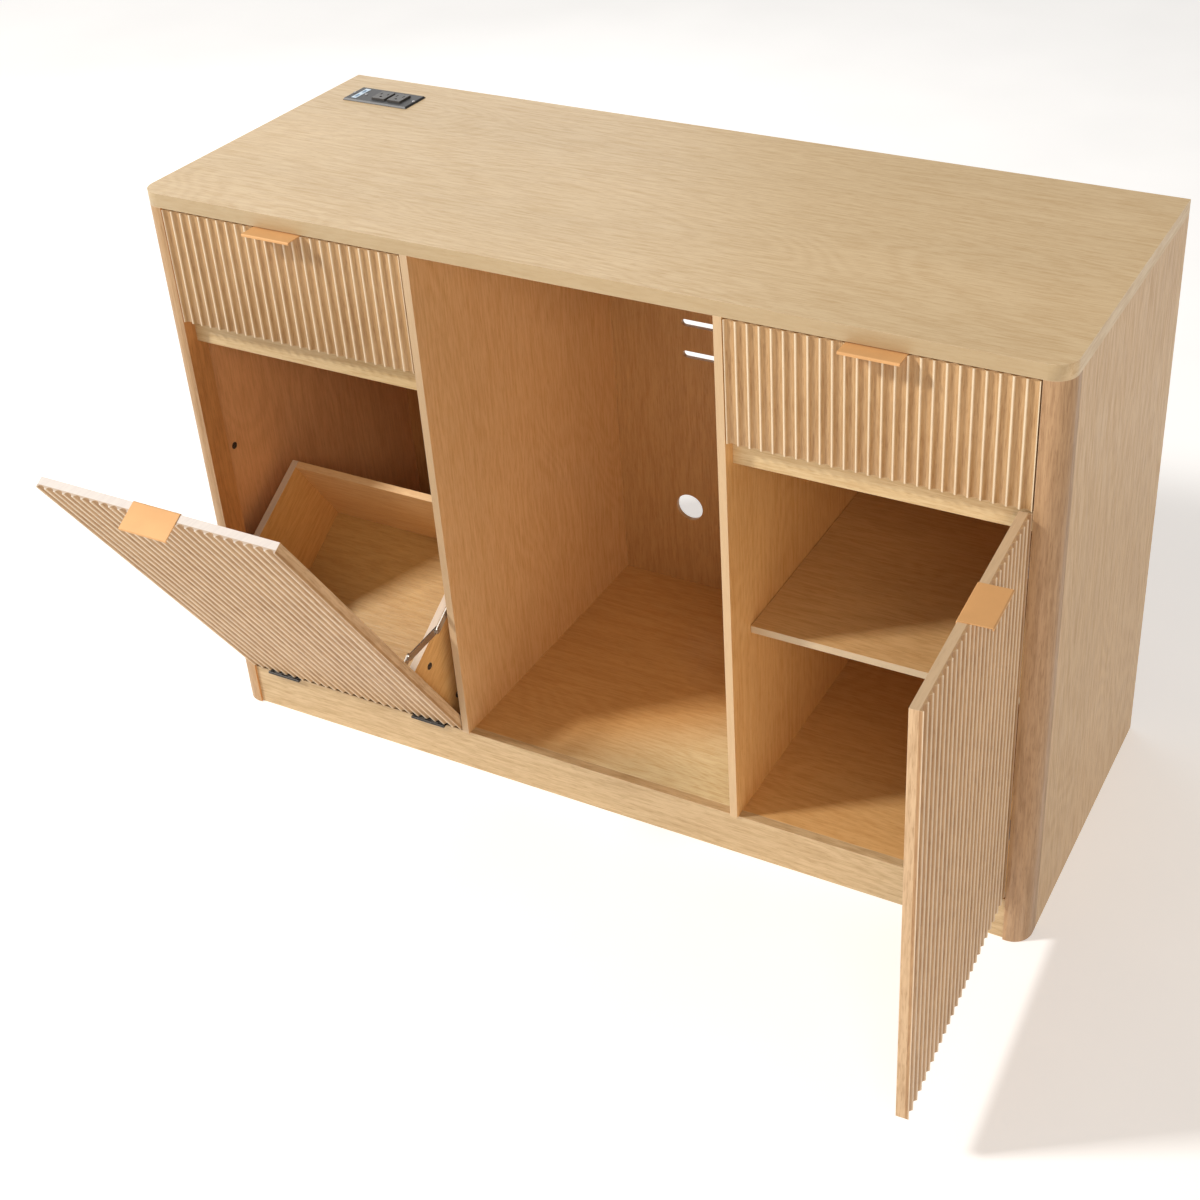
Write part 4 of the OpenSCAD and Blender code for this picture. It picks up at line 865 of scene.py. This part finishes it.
def add_screw(bm, at, outward, head_width, head_height, shank=0.0):
    """Adds one screw whose head rests on the point and rises outward."""
    r = head_width / 2
    turn = Vector(UP).rotation_difference(Vector(outward)).to_matrix().to_4x4()
    pose = Matrix.Translation(Vector(at)) @ turn

    def ring(radius, z):
        angles = [math.tau * i / SCREW_SIDES for i in range(SCREW_SIDES)]
        return [bm.verts.new(pose @ Vector((radius * math.cos(a), radius * math.sin(a), z)))
                for a in angles]

    rings = [ring(wide * r, high * head_height) for wide, high in HEAD_RINGS]
    if shank:
        rings = [ring(SHANK_TIP * SHANK_WIDTH, -shank),
                 ring(SHANK_WIDTH / 2, -shank + 2 * SHANK_WIDTH),
                 ring(SHANK_WIDTH / 2, 0)] + rings
    join_rings(bm, rings)
    bm.faces.new(rings[0][::-1])

    w, arm = SLOT * r, ARM * r
    corners = [(w, w), (w, arm), (-w, arm), (-w, w), (-arm, w), (-arm, -w), (-w, -w),
               (-w, -arm), (w, -arm), (w, -w), (arm, -w), (arm, w)]
    crown = [bm.verts.new(pose @ Vector((x, y, head_height))) for x, y in corners]
    floor = [bm.verts.new(pose @ Vector((TAPER * x, TAPER * y, SLOT_FLOOR * head_height)))
             for x, y in corners]
    edges = [bm.edges.new(pair) for pair in zip(crown, crown[1:] + crown[:1])]
    rim = [bm.edges.get(pair) for pair in zip(rings[-1], rings[-1][1:] + rings[-1][:1])]
    bmesh.ops.triangle_fill(bm, edges=edges + rim, use_beauty=True)
    join_rings(bm, [crown, floor])
    bm.faces.new(floor)


def screw_piece(name, screws, body, pose=SHUT):
    """All screws of one group as a single piece."""
    bm = bmesh.new()
    for one in screws:
        add_screw(bm, *one)
    return new_piece(name, bm, zinc, body, pose, smooth=40)


print("a screw head has", len(HEAD_RINGS), "rings of", SCREW_SIDES, "points")

# %% [markdown]
# ## Screws of the drawers
# The pull and the drawer box are screwed on from behind the front, so their heads lie on the
# pull's leg and on the inside of the box. They are hidden while a drawer is shut, and sit where
# a cabinet of this kind has them. Each screw is a tuple: the point under its head, the direction
# outward, the head's width and height, and how far the shank goes in.

# %% Screws of the drawers
WOOD_HEAD = (0.006, 0.002)
PULL_SCREW_DOWN, PULL_SCREW_SHANK = 0.008, 0.010
BOX_WALL, BOX_SCREW_SHANK = 0.012, 0.021
BOX_SCREW_X, BOX_SCREW_Z = 0.1373, (0.770, 0.838)


def pull_screws(top):
    """Two screws through the leg of a pull, a third of its length out from the middle."""
    return [((BAY + x, BEHIND + SHEET, top - PULL_SCREW_DOWN), DEEP, *WOOD_HEAD, PULL_SCREW_SHANK)
            for x in (-PULL_LENGTH / 3, PULL_LENGTH / 3)]


box_screws = [((BAY + x, BEHIND + BOX_WALL, z), DEEP, *WOOD_HEAD, BOX_SCREW_SHANK)
              for x in (-BOX_SCREW_X, BOX_SCREW_X) for z in BOX_SCREW_Z]
drawer_screws = pull_screws(DRAWER_TOP) + box_screws
for side, pose in (("left", MIRROR), ("right", SHUT)):
    piece = screw_piece(side + "_drawer_cross_screws", drawer_screws, side + "_drawer", pose)
    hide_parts(side + "_drawer_screws")
print("each drawer:", len(drawer_screws), "screws")

# %% [markdown]
# ## Screws of the right door
# The door's screws hold its pull and the two concealed hinges. Each hinge sinks a cup into the
# door, and a screw above and one below the cup go through its flange, which is a millimetre
# thick. They are placed on the shut door and then swung with it.

# %% Screws of the right door
CUP_X, CUP_Z = 0.6405, (0.178, 0.620)
CUP_FLANGE, CUP_SCREW_OFF, CUP_SCREW_SHANK = 0.001, 0.024, 0.009

cup_screws = [((CUP_X, BEHIND + CUP_FLANGE, z + off), DEEP, *WOOD_HEAD, CUP_SCREW_SHANK)
              for z in CUP_Z for off in (-CUP_SCREW_OFF, CUP_SCREW_OFF)]
door_screws = pull_screws(DOOR_TOP) + cup_screws
piece = screw_piece("right_door_cross_screws", door_screws, "right_door", SWUNG)
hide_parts("right_door_screws")
print("right door:", len(door_screws), "screws")

# %% [markdown]
# ## Screws of the power unit and the back
# Three small screws hold the face plate of the power unit, at the places that the photograph
# shows. The back panel is screwed to the edges of the dividers, and with a row along its foot to
# the floor panel. Only the heads of these are built, since their shanks can't be seen.

# %% Screws of the power unit and the back
POWER_HEAD, BACK_HEAD = (0.0052, 0.0010), (0.007, 0.0018)
POWER_SCREW_X = (-0.6476, -0.6246, -0.5324)
BACK_SCREW_Z = (0.15, 0.32, 0.49, 0.66, 0.83)
FOOT_ROW_X, FOOT_ROW_STEP, FOOT_ROW_COUNT = -0.62, 0.2067, 7

plate_low, plate_high = box_of("power_plate")
plate_y = (plate_low.y + plate_high.y) / 2
power_screws = [((x, plate_y, plate_high.z), UP, *POWER_HEAD) for x in POWER_SCREW_X]
screw_piece("power_cross_screws", power_screws, "cabinet")

back_y = box_of("back_panel")[1].y
floor_low, floor_high = box_of("floor_panel")
foot_z = (floor_low.z + floor_high.z) / 2
places = [(x, back_y, z) for x in (-DIVIDER_MID, DIVIDER_MID) for z in BACK_SCREW_Z]
places += [(FOOT_ROW_X + FOOT_ROW_STEP * i, back_y, foot_z) for i in range(FOOT_ROW_COUNT)]
back_screws = [(place, DEEP, *BACK_HEAD) for place in places]
screw_piece("back_panel_cross_screws", back_screws, "cabinet")
print("power unit:", len(power_screws), "and back:", len(back_screws), "screws")

# %% [markdown]
# ## Rivets of the stay
# The folding stay turns on three rivets, and their closed ends are small polished domes with a
# flange under them. A dome is turned from its outline, as on a lathe. Each one rides with the
# part that holds its pin: the lower link at the elbow, the bin at the lower end, and the divider
# at the upper end. They face the tray, where the light from the left catches them.

# %% Rivets
RIVET_WIDTH, RIVET_SIDES = 0.008, 28
# Heights of the flange and of the dome's foot, as shares of the whole
FLANGE, DOME_FOOT = 0.22, 0.25
# The dome's share of the flange's radius, and its rings with their angle from each to the next
DOME_SHARE, DOME_RINGS, DOME_ANGLE = 0.92, 6, 15

polished = fitting("polished_rivet", (0.72, 0.70, 0.67), metallic=1.0, rough=0.24, bump=0.02,
                   vary=0.05)


def rivet_head(name, x, y, z, height, body):
    """A domed head that rises towards the left from a flat face at x."""
    r = RIVET_WIDTH / 2
    outline = [(r, 0), (r, FLANGE * height)]
    for angle in (math.radians(DOME_ANGLE * i) for i in range(DOME_RINGS)):
        rise = height * (DOME_FOOT + (1 - DOME_FOOT) * math.sin(angle))
        outline.append((DOME_SHARE * r * math.cos(angle), rise))
    around = [math.tau * i / RIVET_SIDES for i in range(RIVET_SIDES)]
    bm = bmesh.new()
    rings = [[bm.verts.new((x - rise, y + radius * math.cos(a), z + radius * math.sin(a)))
              for a in around] for radius, rise in outline]
    join_rings(bm, rings)
    top = bm.verts.new((x - height, y, z))
    for low, high in zip(rings[-1], rings[-1][1:] + rings[-1][:1]):
        bm.faces.new((low, high, top))
    bm.faces.new(rings[0])
    new_piece(name, bm, polished, body, smooth=40)


rivet_head("elbow_rivet_head", -0.2529, -0.2931, 0.2905, height=0.0012, body="lower_link")
rivet_head("lower_rivet_head", -0.2542, -0.3650, 0.2870, height=0.0018, body="tilt_out")
rivet_head("upper_rivet_head", -0.2496, -0.2000, 0.3490, height=0.0015, body="cabinet")
print("rivet heads: 3,", round(RIVET_WIDTH * 1000), "mm across")
